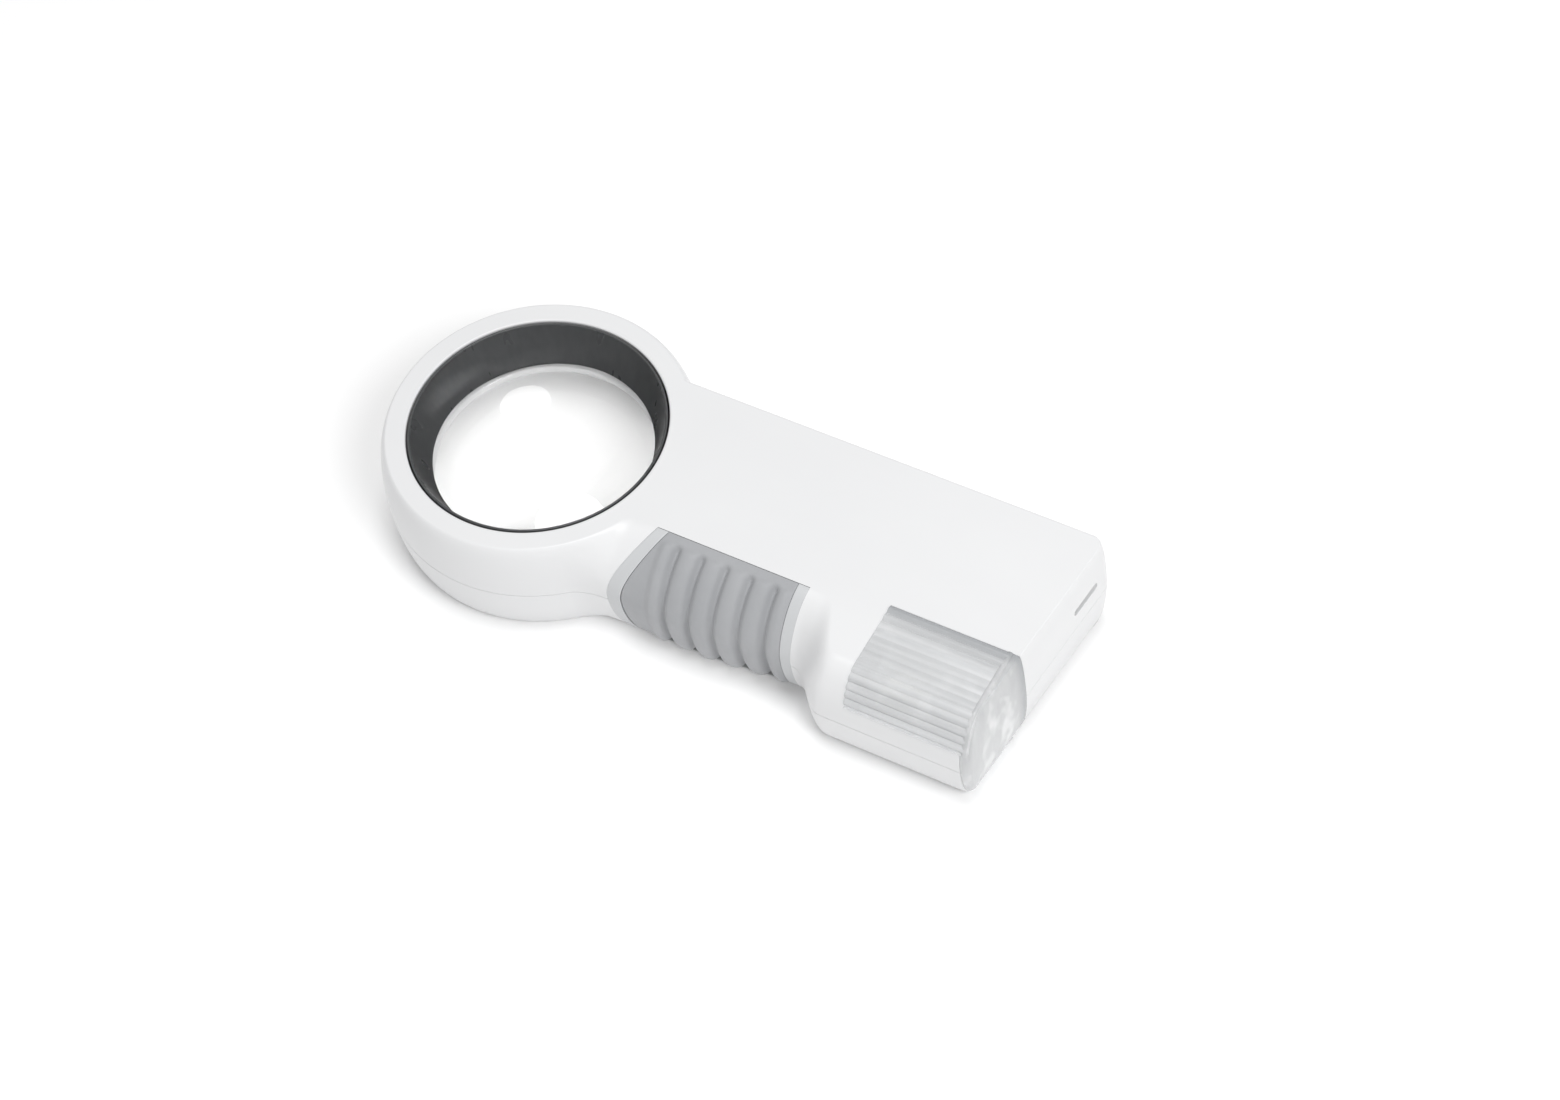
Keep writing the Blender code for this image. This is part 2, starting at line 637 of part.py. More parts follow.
def groove_cutter(x):
    """A V-shaped groove across the pad, following its rounded front."""
    front, top = front_y(x), front_top_y(x)
    path = []
    for degrees in range(-80, 76, 12):
        share_angle = math.sin(math.radians(abs(degrees)))
        if degrees >= 0:
            z = WIDEST_Z + (HEIGHT - WIDEST_Z) * share_angle
            y = front + (top - front) * section_share(share_angle, SHOULDER_POWER)
        else:
            z = WIDEST_Z - WIDEST_Z * share_angle
            y = front + FRONT_BOTTOM_INSET * section_share(share_angle, 2.0)
        path.append(Vector((0, y, z)))
    loops = []
    for k, point in enumerate(path):
        tangent = (path[min(k + 1, len(path) - 1)] - path[max(k - 1, 0)]).normalized()
        outward = Vector((0, -tangent.z, tangent.y))
        if outward.y > 0:
            outward = -outward
        middle = Vector((x, 0, 0)) + point
        half = Vector((GROOVE_HALF_WIDTH, 0, 0))
        loops.append([middle - outward * GROOVE_DEPTH, middle + half + outward * MM,
                      middle - half + outward * MM])
    return lofted(loops)


def make_grip(frame, hinge, paint):
    """The soft pad on its rocking lever, the hinge pin, and the fixed trim at either end."""
    trim_left = GRIP_ARC_RADIUS + GAP
    pad_left = trim_left + TRIM_WIDTH + PAD_LEFT_GAP
    trim_right = GRIP_RIGHT_X - GAP
    pad_right = trim_right - TRIM_WIDTH - GAP
    back = GRIP_BACK_Y - GAP

    pad_plan = grip_outline(pad_left, pad_right, back - 0.1 * MM)
    pad = grip_layer("grip_pad", pad_plan, GRIP_BOTTOM + 0.8 * MM, 0.0, PAD_THICKNESS, hinge,
                     frame, paint["rubber"])
    for k in range(GROOVE_COUNT):
        groove = groove_cutter(GROOVE_FIRST_X + k * GROOVE_PITCH)
        combine(pad, add_cutter(f"grip_pad_groove_{k + 1}", groove, frame), "DIFFERENCE")

    lever_outer = PAD_THICKNESS + GAP
    lever_plan = grip_outline(pad_left + 0.4 * MM, pad_right - 0.4 * MM, back - MM)
    lever = grip_layer("grip_lever", lever_plan, 4 * MM, lever_outer,
                       lever_outer + LEVER_THICKNESS, hinge, frame, paint["carrier"])
    knuckle = cylinder(KNUCKLE_RADIUS, pad_left + 2 * MM, pad_right - 2 * MM,
                       (0, HINGE_Y, HINGE_Z), "X", 16)
    combine(lever, add_cutter("grip_lever_knuckle", knuckle, frame), "UNION")
    hole = cylinder(HINGE_PIN_RADIUS + PIN_CLEARANCE, HINGE_LEFT_X, HINGE_RIGHT_X,
                    (0, HINGE_Y, HINGE_Z), "X", 16)
    combine(lever, add_cutter("grip_lever_hole", hole, frame), "DIFFERENCE")

    pin = cylinder(HINGE_PIN_RADIUS, HINGE_LEFT_X - GAP, HINGE_RIGHT_X + GAP,
                   (0, HINGE_Y, HINGE_Z), "X", 16)
    add_object("grip_hinge_pin", pin, frame, paint["steel"])

    left_plan = ring_strip(trim_left, trim_left + TRIM_WIDTH, back)
    grip_layer("grip_trim_left", left_plan, GRIP_BOTTOM + GAP, 0.0, TRIM_DEPTH, frame, frame,
               paint["trim"])
    right_plan = [(trim_right - TRIM_WIDTH, OUTSIDE_Y), (trim_right, OUTSIDE_Y),
                  (trim_right, back), (trim_right - TRIM_WIDTH, back)]
    grip_layer("grip_trim_right", right_plan, GRIP_BOTTOM + GAP, 0.0, TRIM_DEPTH, frame, frame,
               paint["trim"])


def ring_strip(inner_radius, outer_radius, back_y):
    """Plan of a strip that follows the round head."""
    inner = arc((0, 0), inner_radius, angle_at(inner_radius, OUTSIDE_Y),
                angle_at(inner_radius, back_y), 8)
    outer = arc((0, 0), outer_radius, angle_at(outer_radius, back_y),
                angle_at(outer_radius, OUTSIDE_Y), 8)
    return inner + outer


def make_switch(frame, paint):
    board = box_mesh((42 * MM, -14.4 * MM, 4.5 * MM), (60 * MM, -13.2 * MM, 14.2 * MM))
    add_object("switch_board", board, frame, paint["board"])
    body = box_mesh((48 * MM, -16.2 * MM, 5 * MM), (54 * MM, -14.7 * MM, 11 * MM))
    switch = add_object("grip_switch", body, frame, paint["switch"])
    nub = cylinder(1.7 * MM, -17.1 * MM, -15.6 * MM, (51 * MM, 0, 8 * MM), "Y", 16)
    combine(switch, add_cutter("grip_switch_nub", nub, frame), "UNION")


# ---------------------------------------------------------------- lamp cover and lamp

def block_side_path(low_z):
    """The end block's section from the cover's back edge, over the corner, down its front."""
    path = [(COVER_BACK_Y - GAP, HEIGHT), (BLOCK_TOP_Y, HEIGHT)]
    for k in range(1, 25):
        angle = math.radians(90 - 3 * k)
        share = math.sin(angle)
        z = WIDEST_Z + (HEIGHT - WIDEST_Z) * share
        if z < low_z:
            break
        path.append((BLOCK_Y + (BLOCK_TOP_Y - BLOCK_Y) * section_share(share, 2.0), z))
    return [Vector(point) for point in path]


def walk(path, spacing):
    """Evenly spaced points on a path, with the normal on its right at each."""
    points = []
    travelled = 0.0
    for start, end in zip(path, path[1:]):
        length = (end - start).length
        heading = (end - start) / length
        while travelled <= length:
            points.append((start + heading * travelled, Vector((heading.y, -heading.x))))
            travelled += spacing
        travelled -= length
    return points


def cover_outline():
    """The ribbed skin's section: ribs run along the handle, so they show here as teeth."""
    sill = COVER_SILL_Z + GAP
    path = block_side_path(sill)
    outer = []
    for k, (point, outward) in enumerate(walk(path, RIB_PITCH / 2)):
        outer.append(point + outward * (RIB_HEIGHT if k % 2 else 0.0))
    inner = []
    for k, point in enumerate(path):
        ahead = path[min(k + 1, len(path) - 1)]
        behind = path[max(k - 1, 0)]
        heading = (ahead - behind).normalized()
        inside = point + Vector((heading.y, -heading.x)) * -COVER_THICKNESS
        inner.append(Vector((inside.x, max(inside.y, sill))))
    return [tuple(point) for point in outer + list(reversed(inner))]


def make_lamp(frame, paint):
    """The clear cover, its ribbed skin closed by an end cap, over an LED on its own board."""
    skin = prism_x(cover_outline(), COVER_LEFT_X + GAP, COVER_CAP_X + 0.9 * MM)
    cover = add_object("lamp_cover", skin, frame, paint["frosted"])
    cap = form_mesh(casing_outlines(), 0, HEIGHT)
    cap_form = add_cutter("lamp_cover_cap", cap, frame)
    limit = box_mesh((COVER_CAP_X + GAP, BLOCK_Y - BEYOND, -BEYOND),
                     (END_X + BEYOND, COVER_BACK_Y - GAP, HEIGHT + BEYOND))
    combine(cap_form, add_cutter("lamp_cover_cap_limit", limit, frame), "INTERSECT")
    combine(cover, cap_form, "UNION")
    door_way = prism_x(door_outline(0), COVER_CAP_X - MM, END_X + 2 * MM)
    combine(cover, add_cutter("lamp_cover_door_way", door_way, frame), "DIFFERENCE")

    board = box_mesh((84 * MM, -24 * MM, 5 * MM), (85.2 * MM, -14.4 * MM, 18.6 * MM))
    add_object("lamp_board", board, frame, paint["board"])
    add_object("lamp_led", led_mesh(85.5 * MM, 1, 2.5 * MM, (-19.5 * MM, 12.4 * MM)), frame,
               paint["led"])


# ---------------------------------------------------------------- battery bay

def make_tray(frame, paint):
    """An open-bottomed box that holds the cells."""
    tray = add_object("battery_tray", box_mesh(TRAY_LOW, TRAY_HIGH), frame, paint["carrier"])
    inner_low = [TRAY_LOW[0] + TRAY_WALL, TRAY_LOW[1] + TRAY_WALL, TRAY_LOW[2] - MM]
    inner_high = [high - TRAY_WALL for high in TRAY_HIGH]
    hollow = box_mesh(inner_low, inner_high)
    combine(tray, add_cutter("battery_tray_hollow", hollow, frame), "DIFFERENCE")


def cell_mesh(left_x, y, nipple_right):
    """A round cell whose positive nipple points to either end."""
    nipple = 1.2 * MM
    profile = [(0, 0), (CELL_RADIUS - 0.5 * MM, 0), (CELL_RADIUS, 0.5 * MM),
               (CELL_RADIUS, CELL_LENGTH - nipple - 0.5 * MM),
               (CELL_RADIUS - 0.5 * MM, CELL_LENGTH - nipple), (2.7 * MM, CELL_LENGTH - nipple),
               (2.7 * MM, CELL_LENGTH), (0, CELL_LENGTH)]
    if not nipple_right:
        profile = [(r, CELL_LENGTH - x) for r, x in profile]
    return turned(profile, (left_x, y, CELL_Z), "X", 24)


def spring_mesh(start_x, y, direction):
    """A coil spring that widens towards its contact plate."""
    turns, per_turn = 2.5, 10
    count = int(turns * per_turn) + 1
    wire = 0.3 * MM
    points = []
    for k in range(count):
        share = k / (count - 1)
        angle = 2 * math.pi * turns * share
        radius = (4.2 - 1.6 * share) * MM
        x = start_x + direction * (wire + (SPRING_LENGTH - 3 * wire) * share)
        points.append(Vector((x, y + radius * math.cos(angle), CELL_Z + radius * math.sin(angle))))
    loops = []
    for k, point in enumerate(points):
        tangent = (points[min(k + 1, count - 1)] - points[max(k - 1, 0)]).normalized()
        side = Vector((1, 0, 0))
        side = (side - tangent * side.dot(tangent)).normalized()
        across = tangent.cross(side)
        angles = [2 * math.pi * j / 5 for j in range(5)]
        loops.append([point + wire * (math.cos(a) * side + math.sin(a) * across) for a in angles])
    return lofted(loops)


def make_power(frame, paint):
    """Two cells side by side in opposite directions, between sprung contacts."""
    left = TRAY_LOW[0] + TRAY_WALL + GAP
    right = TRAY_HIGH[0] - TRAY_WALL - GAP
    plate_low, plate_high = CELL_Z - CONTACT_HALF, CELL_Z + CONTACT_HALF
    bridge = box_mesh((left, CELL_Y[0] - CONTACT_HALF, plate_low),
                      (left + CONTACT_THICKNESS, CELL_Y[1] + CONTACT_HALF, plate_high))
    add_object("contact_bridge", bridge, frame, paint["steel"])
    for name, y in (("contact_plus", CELL_Y[0]), ("contact_minus", CELL_Y[1])):
        plate = box_mesh((right - CONTACT_THICKNESS, y - CONTACT_HALF, plate_low),
                         (right, y + CONTACT_HALF, plate_high))
        add_object(name, plate, frame, paint["steel"])
    face_left = left + CONTACT_THICKNESS + GAP
    face_right = right - CONTACT_THICKNESS - GAP
    add_object("contact_spring_1", spring_mesh(face_left, CELL_Y[0], 1), frame, paint["steel"])
    add_object("contact_spring_2", spring_mesh(face_right, CELL_Y[1], -1), frame, paint["steel"])
    first = face_right - CELL_LENGTH
    add_object("cell_1", cell_mesh(first, CELL_Y[0], True), frame, paint["cell"])
    add_object("cell_2", cell_mesh(face_left, CELL_Y[1], False), frame, paint["cell"])


def make_door(frame, paint):
    plate = prism_x(door_outline(GAP), DOOR_LEFT_X + GAP, END_X + 2 * MM)
    door = add_object("battery_door", plate, frame, paint["white"])
    form = add_cutter("battery_door_form", form_mesh(casing_outlines(GAP), 0, HEIGHT), frame)
    combine(door, form, "INTERSECT")


# ---------------------------------------------------------------- screws and leads

def make_screws(frame, paint):
    head_top = SCREW_SEAT_Z - GAP
    head_bottom = head_top - SCREW_HEAD_HEIGHT
    profile = [(0, head_bottom), (SCREW_HEAD_RADIUS, head_bottom), (SCREW_HEAD_RADIUS, head_top),
               (SCREW_SHANK_RADIUS, head_top), (SCREW_SHANK_RADIUS, SCREW_TIP_Z - 0.6 * MM),
               (0, SCREW_TIP_Z)]
    for k, (x, y) in enumerate(SCREW_PLACES):
        screw = turned(profile, (x, y, 0), segments=16)
        add_object(f"case_screw_{k + 1}", screw, frame, paint["steel"])


def make_leads(frame, paint):
    """Pairs of thin wires from the switch board to each light, passing under the tray's edge."""
    reading = ((34.1, -4.3, 4.6), (34.3, -8.0, 4.6), (34.6, -11.6, 4.6), (36.2, -12.8, 4.6),
               (39.0, -13.6, 4.8), (41.6, -13.8, 5.0))
    lamp = ((60.4, -13.8, 5.2), (62.5, -13.3, 4.8), (65.0, -12.4, 4.6), (69.0, -12.4, 4.6),
            (74.0, -13.3, 4.9), (79.0, -14.8, 5.8), (83.6, -15.2, 6.4))
    for place, route in (("reading", reading), ("lamp", lamp)):
        for k, colour in enumerate(("red", "black")):
            points = [(x * MM, y * MM, z * MM + k * LEAD_SPACING) for x, y, z in route]
            add_object(f"{place}_lead_{colour}", tube(points, LEAD_RADIUS), frame, paint[colour])


def paints():
    return {
        "white": make_material("white_plastic", (0.86, 0.86, 0.86), 0.3),
        "sleeve": make_material("charcoal_plastic", (0.05, 0.05, 0.055), 0.35),
        "lens": make_material("lens_glass", (0.95, 0.97, 0.98), 0.02, alpha=0.35),
        "clear": make_material("clear_plastic", (0.9, 0.93, 0.95), 0.05, alpha=0.4),
        "frosted": make_material("frosted_plastic", (0.72, 0.73, 0.74), 0.25, alpha=0.8),
        "rubber": make_material("grey_rubber", (0.40, 0.41, 0.42), 0.7),
        "trim": make_material("light_grey_plastic", (0.62, 0.63, 0.64), 0.45),
        "carrier": make_material("black_plastic", (0.06, 0.06, 0.06), 0.5),
        "steel": make_material("spring_steel", (0.75, 0.75, 0.76), 0.25, 1.0),
        "board": make_material("green_circuit_board", (0.05, 0.22, 0.1), 0.5),
        "switch": make_material("switch_plastic", (0.08, 0.08, 0.09), 0.4),
        "led": make_material("led_resin", (0.95, 0.92, 0.75), 0.1),
        "cell": make_material("cell_jacket", (0.16, 0.2, 0.3), 0.35),
        "red": make_material("red_lead", (0.6, 0.05, 0.04), 0.5),
        "black": make_material("black_lead", (0.03, 0.03, 0.03), 0.5),
    }


def main():
    clear_scene()
    paint = paints()
    frame = make_empty("magnifier", (LENS_X, 0, 0))
    hinge = make_empty("grip_hinge", (0, HINGE_Y, HINGE_Z), frame)
    make_upper_shell(frame, paint["white"])
    make_lower_shell(frame, paint["white"])
    make_lens_head(frame, paint)
    make_reading_light(frame, paint)
    make_grip(frame, hinge, paint)
    make_switch(frame, paint)
    make_lamp(frame, paint)
    make_tray(frame, paint)
    make_power(frame, paint)
    make_door(frame, paint)
    make_screws(frame, paint)
    make_leads(frame, paint)


main()
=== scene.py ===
import math

import bmesh
import bpy
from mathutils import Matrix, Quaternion, Vector


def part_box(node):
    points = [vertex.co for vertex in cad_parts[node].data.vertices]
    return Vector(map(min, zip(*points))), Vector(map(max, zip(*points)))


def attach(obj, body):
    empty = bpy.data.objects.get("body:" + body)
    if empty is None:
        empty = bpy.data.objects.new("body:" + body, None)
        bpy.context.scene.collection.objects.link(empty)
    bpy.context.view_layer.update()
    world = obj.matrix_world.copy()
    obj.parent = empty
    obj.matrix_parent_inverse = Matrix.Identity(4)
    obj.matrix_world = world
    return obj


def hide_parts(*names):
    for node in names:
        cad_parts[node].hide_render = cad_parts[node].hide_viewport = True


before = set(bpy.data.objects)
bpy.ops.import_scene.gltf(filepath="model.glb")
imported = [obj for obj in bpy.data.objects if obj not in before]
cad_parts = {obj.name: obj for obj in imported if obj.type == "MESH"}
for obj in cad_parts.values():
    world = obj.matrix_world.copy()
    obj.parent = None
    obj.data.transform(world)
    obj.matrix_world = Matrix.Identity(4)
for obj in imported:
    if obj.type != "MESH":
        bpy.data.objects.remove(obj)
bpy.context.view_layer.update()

# Everything below is drawn in lens coordinates, like the CAD: the origin is on the lens axis at
# the resting plane, with +X along the handle. Lengths are metres.
MM = 0.001
GAP = 0.3 * MM
LENS_LOW, LENS_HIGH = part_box("lens")
LENS_X = (LENS_LOW[0] + LENS_HIGH[0]) / 2
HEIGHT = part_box("upper_shell")[1][2]

# Overall form
WIDEST_Z = 12.5 * MM
SPLIT_Z = 11.5 * MM
PARTING_GAP = 0.08 * MM
PARTING_ROUND = 0.16 * MM
RING_RADIUS = 31.6 * MM
RING_INSETS = (0, 2.2 * MM, 2.6 * MM)
BACK_Y = 22.9 * MM
BACK_TOP_INSET = 1.95 * MM
BACK_BOTTOM_INSET = 4.5 * MM
WAIST_Y = -22.7 * MM
WAIST_NARROW_Y = -21.2 * MM
WAIST_TOP_Y = -11.4 * MM
BLOCK_Y = -28.5 * MM
BLOCK_TOP_Y = -21.9 * MM
FRONT_BOTTOM_INSET = 4.3 * MM
STEP_X = (66.5 * MM, 76.0 * MM)
STEP_TOP_X = (70.0 * MM, 77.0 * MM)
END_X = 111.0 * MM
END_SLANT = 0.082
END_SQUARE_Y = 21.0 * MM
END_TOP_INSET = 0.9 * MM
END_BOTTOM_INSET = 2.2 * MM
FRONT_CORNER_RADIUS = 2.0 * MM
CORNER_EXTRAS = (0, -0.8 * MM, 0)
BACK_CORNER_RADIUS = 4.0 * MM
SHOULDER_POWER = 1.7
NECK_ANGLE = -52
NECK_START_X = 28.0 * MM
WAIST_NARROWING_X = (46 * MM, 64 * MM)
FLAT_SHOULDER_START_X = (24 * MM, 34 * MM)
FLAT_SHOULDER_END_X = (66 * MM, 76 * MM)
FRONT_END_X = 94 * MM
WALL = 2.0 * MM
FLOOR = 2.4 * MM

# Lens head
BORE_RADIUS = 25.6 * MM
SLEEVE_TOP = HEIGHT - 0.2 * MM
SLEEVE_LIP_RADIUS = 21.7 * MM
SLEEVE_LIP_Z = 15.6 * MM
SLEEVE_SEAT_RADIUS = 22.6 * MM
SLEEVE_FLANGE_RADIUS = 27.4 * MM
SLEEVE_BOTTOM = 9.6 * MM
LENS_RADIUS = LENS_HIGH[0] - LENS_X
LENS_EDGE_TOP = 15.0 * MM
LENS_EDGE_BOTTOM = 12.8 * MM
LENS_SAG = 4.0 * MM
LENS_LOWER_SAG = 2.6 * MM
RETAINER_RADII = (20.9 * MM, 22.3 * MM)
RETAINER_Z = (9.9 * MM, 12.4 * MM)
CAVITY_RADIUS = 33.6 * MM
CAVITY_START_X = 36 * MM
POCKET_WIDTH = 8.4 * MM
POCKET_Z = (3.6 * MM, 8.9 * MM)
WINDOW_X = (26.4 * MM, 27.9 * MM)

# Grip
GRIP_ARC_RADIUS = 35.5 * MM
GRIP_RIGHT_X = 66.2 * MM
GRIP_BACK_Y = -11.3 * MM
GRIP_BOTTOM = 1.2 * MM
RECESS_Z = (3.1 * MM, 27 * MM)
TOE_BACK_Y = -16.2 * MM
TRIM_WIDTH = 2.0 * MM
TRIM_DEPTH = 2.4 * MM
PAD_THICKNESS = 2.2 * MM
PAD_GAP = 0.05 * MM
PAD_SWING_ROOM = 0.032
FIXED_GAP = 0.02 * MM
HINGE_Y = -14.6 * MM
HINGE_Z = 16.8 * MM
HINGE_LEFT_X = 32.9 * MM
HINGE_RIGHT_X = 67.7 * MM
HINGE_HOLE_RADIUS = 1.3 * MM
POST_THICKNESS = 1.4 * MM
GROOVE_COUNT = 5
GROOVE_FIRST_X = 39.3 * MM
GROOVE_PITCH = 5.2 * MM
GROOVE_DEPTH = 1.05 * MM
GROOVE_FADE = (12.9 * MM, 14.4 * MM)
RIDGE_HEIGHT = 0.5 * MM
OUTSIDE_Y = -27.0 * MM

# Lamp cover
COVER_LEFT_X = 81.5 * MM
COVER_CAP_X = 105.2 * MM
COVER_BACK_Y = -8.5 * MM
COVER_SILL_Z = 16.8 * MM
COVER_THICKNESS = 2.0 * MM
RIB_PITCH = 1.75 * MM
RIB_HEIGHT = 0.42 * MM
RIB_TOP_HEIGHT = 0.16 * MM
COVER_GAP = 0.06 * MM
# Width of the painted shade along the cover's back edge
COVER_PAINTED_SHADE_WIDTH = 3.2 * MM
BEAD_HEIGHT = 0.35 * MM
BEAD_WIDTH = 1.1 * MM

# Battery bay
CELL_RADIUS = 7.1 * MM
CELL_LENGTH = 50.0 * MM
DOOR_LEFT_X = 36.5 * MM
DOOR_Y = (-11.8 * MM, 17.2 * MM)
DOOR_FLANGE = 0.8 * MM
DOOR_LIP_Z = 1.1 * MM
THUMB_X = 97 * MM
THUMB_RADIUS = 8 * MM
THUMB_DEPTH = 1.0 * MM
THUMB_RIDGES = 5

# Screws and lanyard slot
SCREW_PLACES = ((26.6 * MM, -14.9 * MM), (31.0 * MM, 17.0 * MM), (77.8 * MM, -20.6 * MM))
SCREW_HEAD_RADIUS = 1.9 * MM
SCREW_SHANK_RADIUS = 0.85 * MM
SCREW_SEAT_Z = 6.0 * MM
SCREW_TIP_Z = 17.6 * MM
HEAD_HOLE_RADIUS = 2.3 * MM
SHANK_HOLE_RADIUS = 1.3 * MM
PILOT_HOLE_RADIUS = 1.2 * MM
UPPER_BOSS_RADIUS = 3.0 * MM
LOWER_BOSS_RADIUS = 3.4 * MM
SLOT_Y = (8.5 * MM, 16.5 * MM)
SLOT_Z = (15.5 * MM, 17.1 * MM)
SLOT_ROUND = 0.79 * MM

# Camera: azimuth, elevation and roll in degrees, in world coordinates
CAMERA_ANGLES = (36.6, 53.8, 9.4)
CAMERA_TARGET = (LENS_X + 46.5 * MM, 7.9 * MM, 0)
CAMERA_DISTANCE = 678.5 * MM
CAMERA_LENS = 80.8

# How finely curves are drawn
ROUND_SEGMENTS = 192
RING_POINTS = 170
NECK_POINTS = 14
FRONT_SPACING = 0.9 * MM
LEVELS = 20
BEYOND = 5 * MM

CUT, JOIN = "DIFFERENCE", "UNION"


# ---- mesh building

def new_object(name, data):
    item = bpy.data.objects.new(name, data)
    bpy.context.collection.objects.link(item)
    return item


def mesh_object(name, shape):
    """Turn a bmesh into an object with outward faces, and free the bmesh."""
    bmesh.ops.recalc_face_normals(shape, faces=shape.faces)
    mesh = bpy.data.meshes.new(name)
    shape.to_mesh(mesh)
    shape.free()
    return new_object(name, mesh)


def add_piece(name, shape, nodes, *materials, body="casing", smooth_angle=32):
    """Make a piece from a bmesh in lens coordinates; it rides on a body and stands for nodes."""
    piece = mesh_object(name, shape)
    for material in materials:
        piece.data.materials.append(material)
    piece.location = (LENS_X, 0, 0)
    finish_shading(piece, smooth_angle)
    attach(piece, body)
    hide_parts(*nodes)


def finish_shading(piece, smooth_angle):
    """Smooth the piece, keep its edges, and let its large flat faces stay flat."""
    piece.data.shade_smooth()
    piece.data.set_sharp_from_angle(angle=math.radians(smooth_angle))
    even = piece.modifiers.new("even", "WEIGHTED_NORMAL")
    even.keep_sharp = True
    rough = piece.data
    depsgraph = bpy.context.evaluated_depsgraph_get()
    piece.data = bpy.data.meshes.new_from_object(piece.evaluated_get(depsgraph))
    piece.data.name = piece.name
    piece.modifiers.clear()
    bpy.data.meshes.remove(rough)


def carve(shape, steps):
    """Apply a list of (operation, cutter bmesh) Booleans to a bmesh and return the result."""
    body = mesh_object("carved", shape)
    cutters = []
    for operation, cutter_shape in steps:
        cutter = mesh_object("cutter", cutter_shape)
        modifier = body.modifiers.new("cut", "BOOLEAN")
        modifier.operation = operation
        modifier.object = cutter
        modifier.solver = "EXACT"
        cutters.append(cutter)
    result = bmesh.new()
    result.from_object(body, bpy.context.evaluated_depsgraph_get())
    for item in cutters + [body]:
        bpy.data.meshes.remove(item.data)
    bmesh.ops.remove_doubles(result, verts=result.verts, dist=0.002 * MM)
    return result


def box_mesh(low, high):
    shape = bmesh.new()
    bmesh.ops.create_cube(shape, size=1.0)
    for vert in shape.verts:
        vert.co = Vector([low[k] + (vert.co[k] + 0.5) * (high[k] - low[k]) for k in range(3)])
    return shape


def skin_rows(shape, rows):
    """Join each row of vertices to the next one, every row being a closed ring."""
    count = len(rows[0])
    for here, there in zip(rows, rows[1:]):
        for k in range(count):
            after = (k + 1) % count
            shape.faces.new((here[k], here[after], there[after], there[k]))


def lofted(loops):
    """Skin a stack of equally long loops and close it with a face at each end."""
    shape = bmesh.new()
    rows = [[shape.verts.new(point) for point in loop] for loop in loops]
    skin_rows(shape, rows)
    shape.faces.new(rows[0][::-1])
    shape.faces.new(rows[-1])
    return shape


def prism_z(outline, low, high):
    return lofted([[(x, y, z) for x, y in outline] for z in (low, high)])


def prism_x(outline, low, high):
    return lofted([[(x, y, z) for y, z in outline] for x in (low, high)])


def turned(profile, centre=(0, 0, 0), axis="Z", segments=ROUND_SEGMENTS):
    """Turn a closed (radius, height) outline about an axis through the centre."""
    shape = bmesh.new()
    rows = []
    for k in range(segments):
        angle = 2 * math.pi * k / segments
        row = []
        for radius, height in profile:
            across = radius * math.cos(angle)
            along = radius * math.sin(angle)
            point = {"Z": (across, along, height), "X": (height, across, along)}[axis]
            row.append(shape.verts.new(Vector(centre) + Vector(point)))
        rows.append(row)
    skin_rows(shape, rows + rows[:1])
    bmesh.ops.remove_doubles(shape, verts=shape.verts, dist=0.0005 * MM)
    return shape


def bevel(shape, edges, width, segments):
    bmesh.ops.bevel(shape, geom=edges, offset=width, segments=segments, affect="EDGES",
                    profile=0.5)


def cylinder(radius, low, high, centre=(0, 0, 0), axis="Z", segments=48):
    return turned([(0, low), (radius, low), (radius, high), (0, high)], centre, axis, segments)


def curve_point(start, corner, end, t):
    """A point on the curve that leaves start for the corner and arrives at end."""
    return tuple((1 - t) ** 2 * start + 2 * t * (1 - t) * corner + t * t * end)


def rounded_profile(corners, radius, steps=4):
    """Round each corner of a closed (radius, height) outline, except those on the axis."""
    points = []
    count = len(corners)
    for k, corner in enumerate(corners):
        here = Vector(corner)
        back = Vector(corners[k - 1]) - here
        ahead = Vector(corners[(k + 1) % count]) - here
        reach = min(radius, back.length * 0.45, ahead.length * 0.45)
        if here.x < 0.01 * MM or reach < 0.01 * MM:
            points.append(tuple(here))
            continue
        start = here + back.normalized() * reach
        end = here + ahead.normalized() * reach
        points += [curve_point(start, here, end, j / steps) for j in range(steps + 1)]
    return points


# ---- the casing's outer form

def smooth_step(value, low, high):
    t = min(max((value - low) / (high - low), 0.0), 1.0)
    return t * t * (3 - 2 * t)


def arc(centre, radius, start, end, count):
    """Points on an arc, angles in degrees, both ends included."""
    angles = [math.radians(start + (end - start) * k / (count - 1)) for k in range(count)]
    return [(centre[0] + radius * math.cos(a), centre[1] + radius * math.sin(a)) for a in angles]


def line(start, end, count):
    """Points on a straight line, its last one left to the next stretch."""
    return [(start[0] + (end[0] - start[0]) * k / count,
             start[1] + (end[1] - start[1]) * k / count) for k in range(count)]


def front_y(x):
    """The front side's widest line: a waist for the fingers, then the step to the end block."""
    waist = WAIST_Y + (WAIST_NARROW_Y - WAIST_Y) * smooth_step(x, *WAIST_NARROWING_X)
    return waist + (BLOCK_Y - waist) * smooth_step(x, *STEP_X)


def front_top_y(x):
    """Where the flat top begins to fall away towards the front."""
    return WAIST_TOP_Y + (BLOCK_TOP_Y - WAIST_TOP_Y) * smooth_step(x, *STEP_TOP_X)


def end_x(y):
    """The end face is slightly slanted: it stands at END_X only at END_SQUARE_Y."""
    return END_X - END_SLANT * (END_SQUARE_Y - y)


def angle_at(radius, y):
    return math.degrees(math.asin(y / radius))


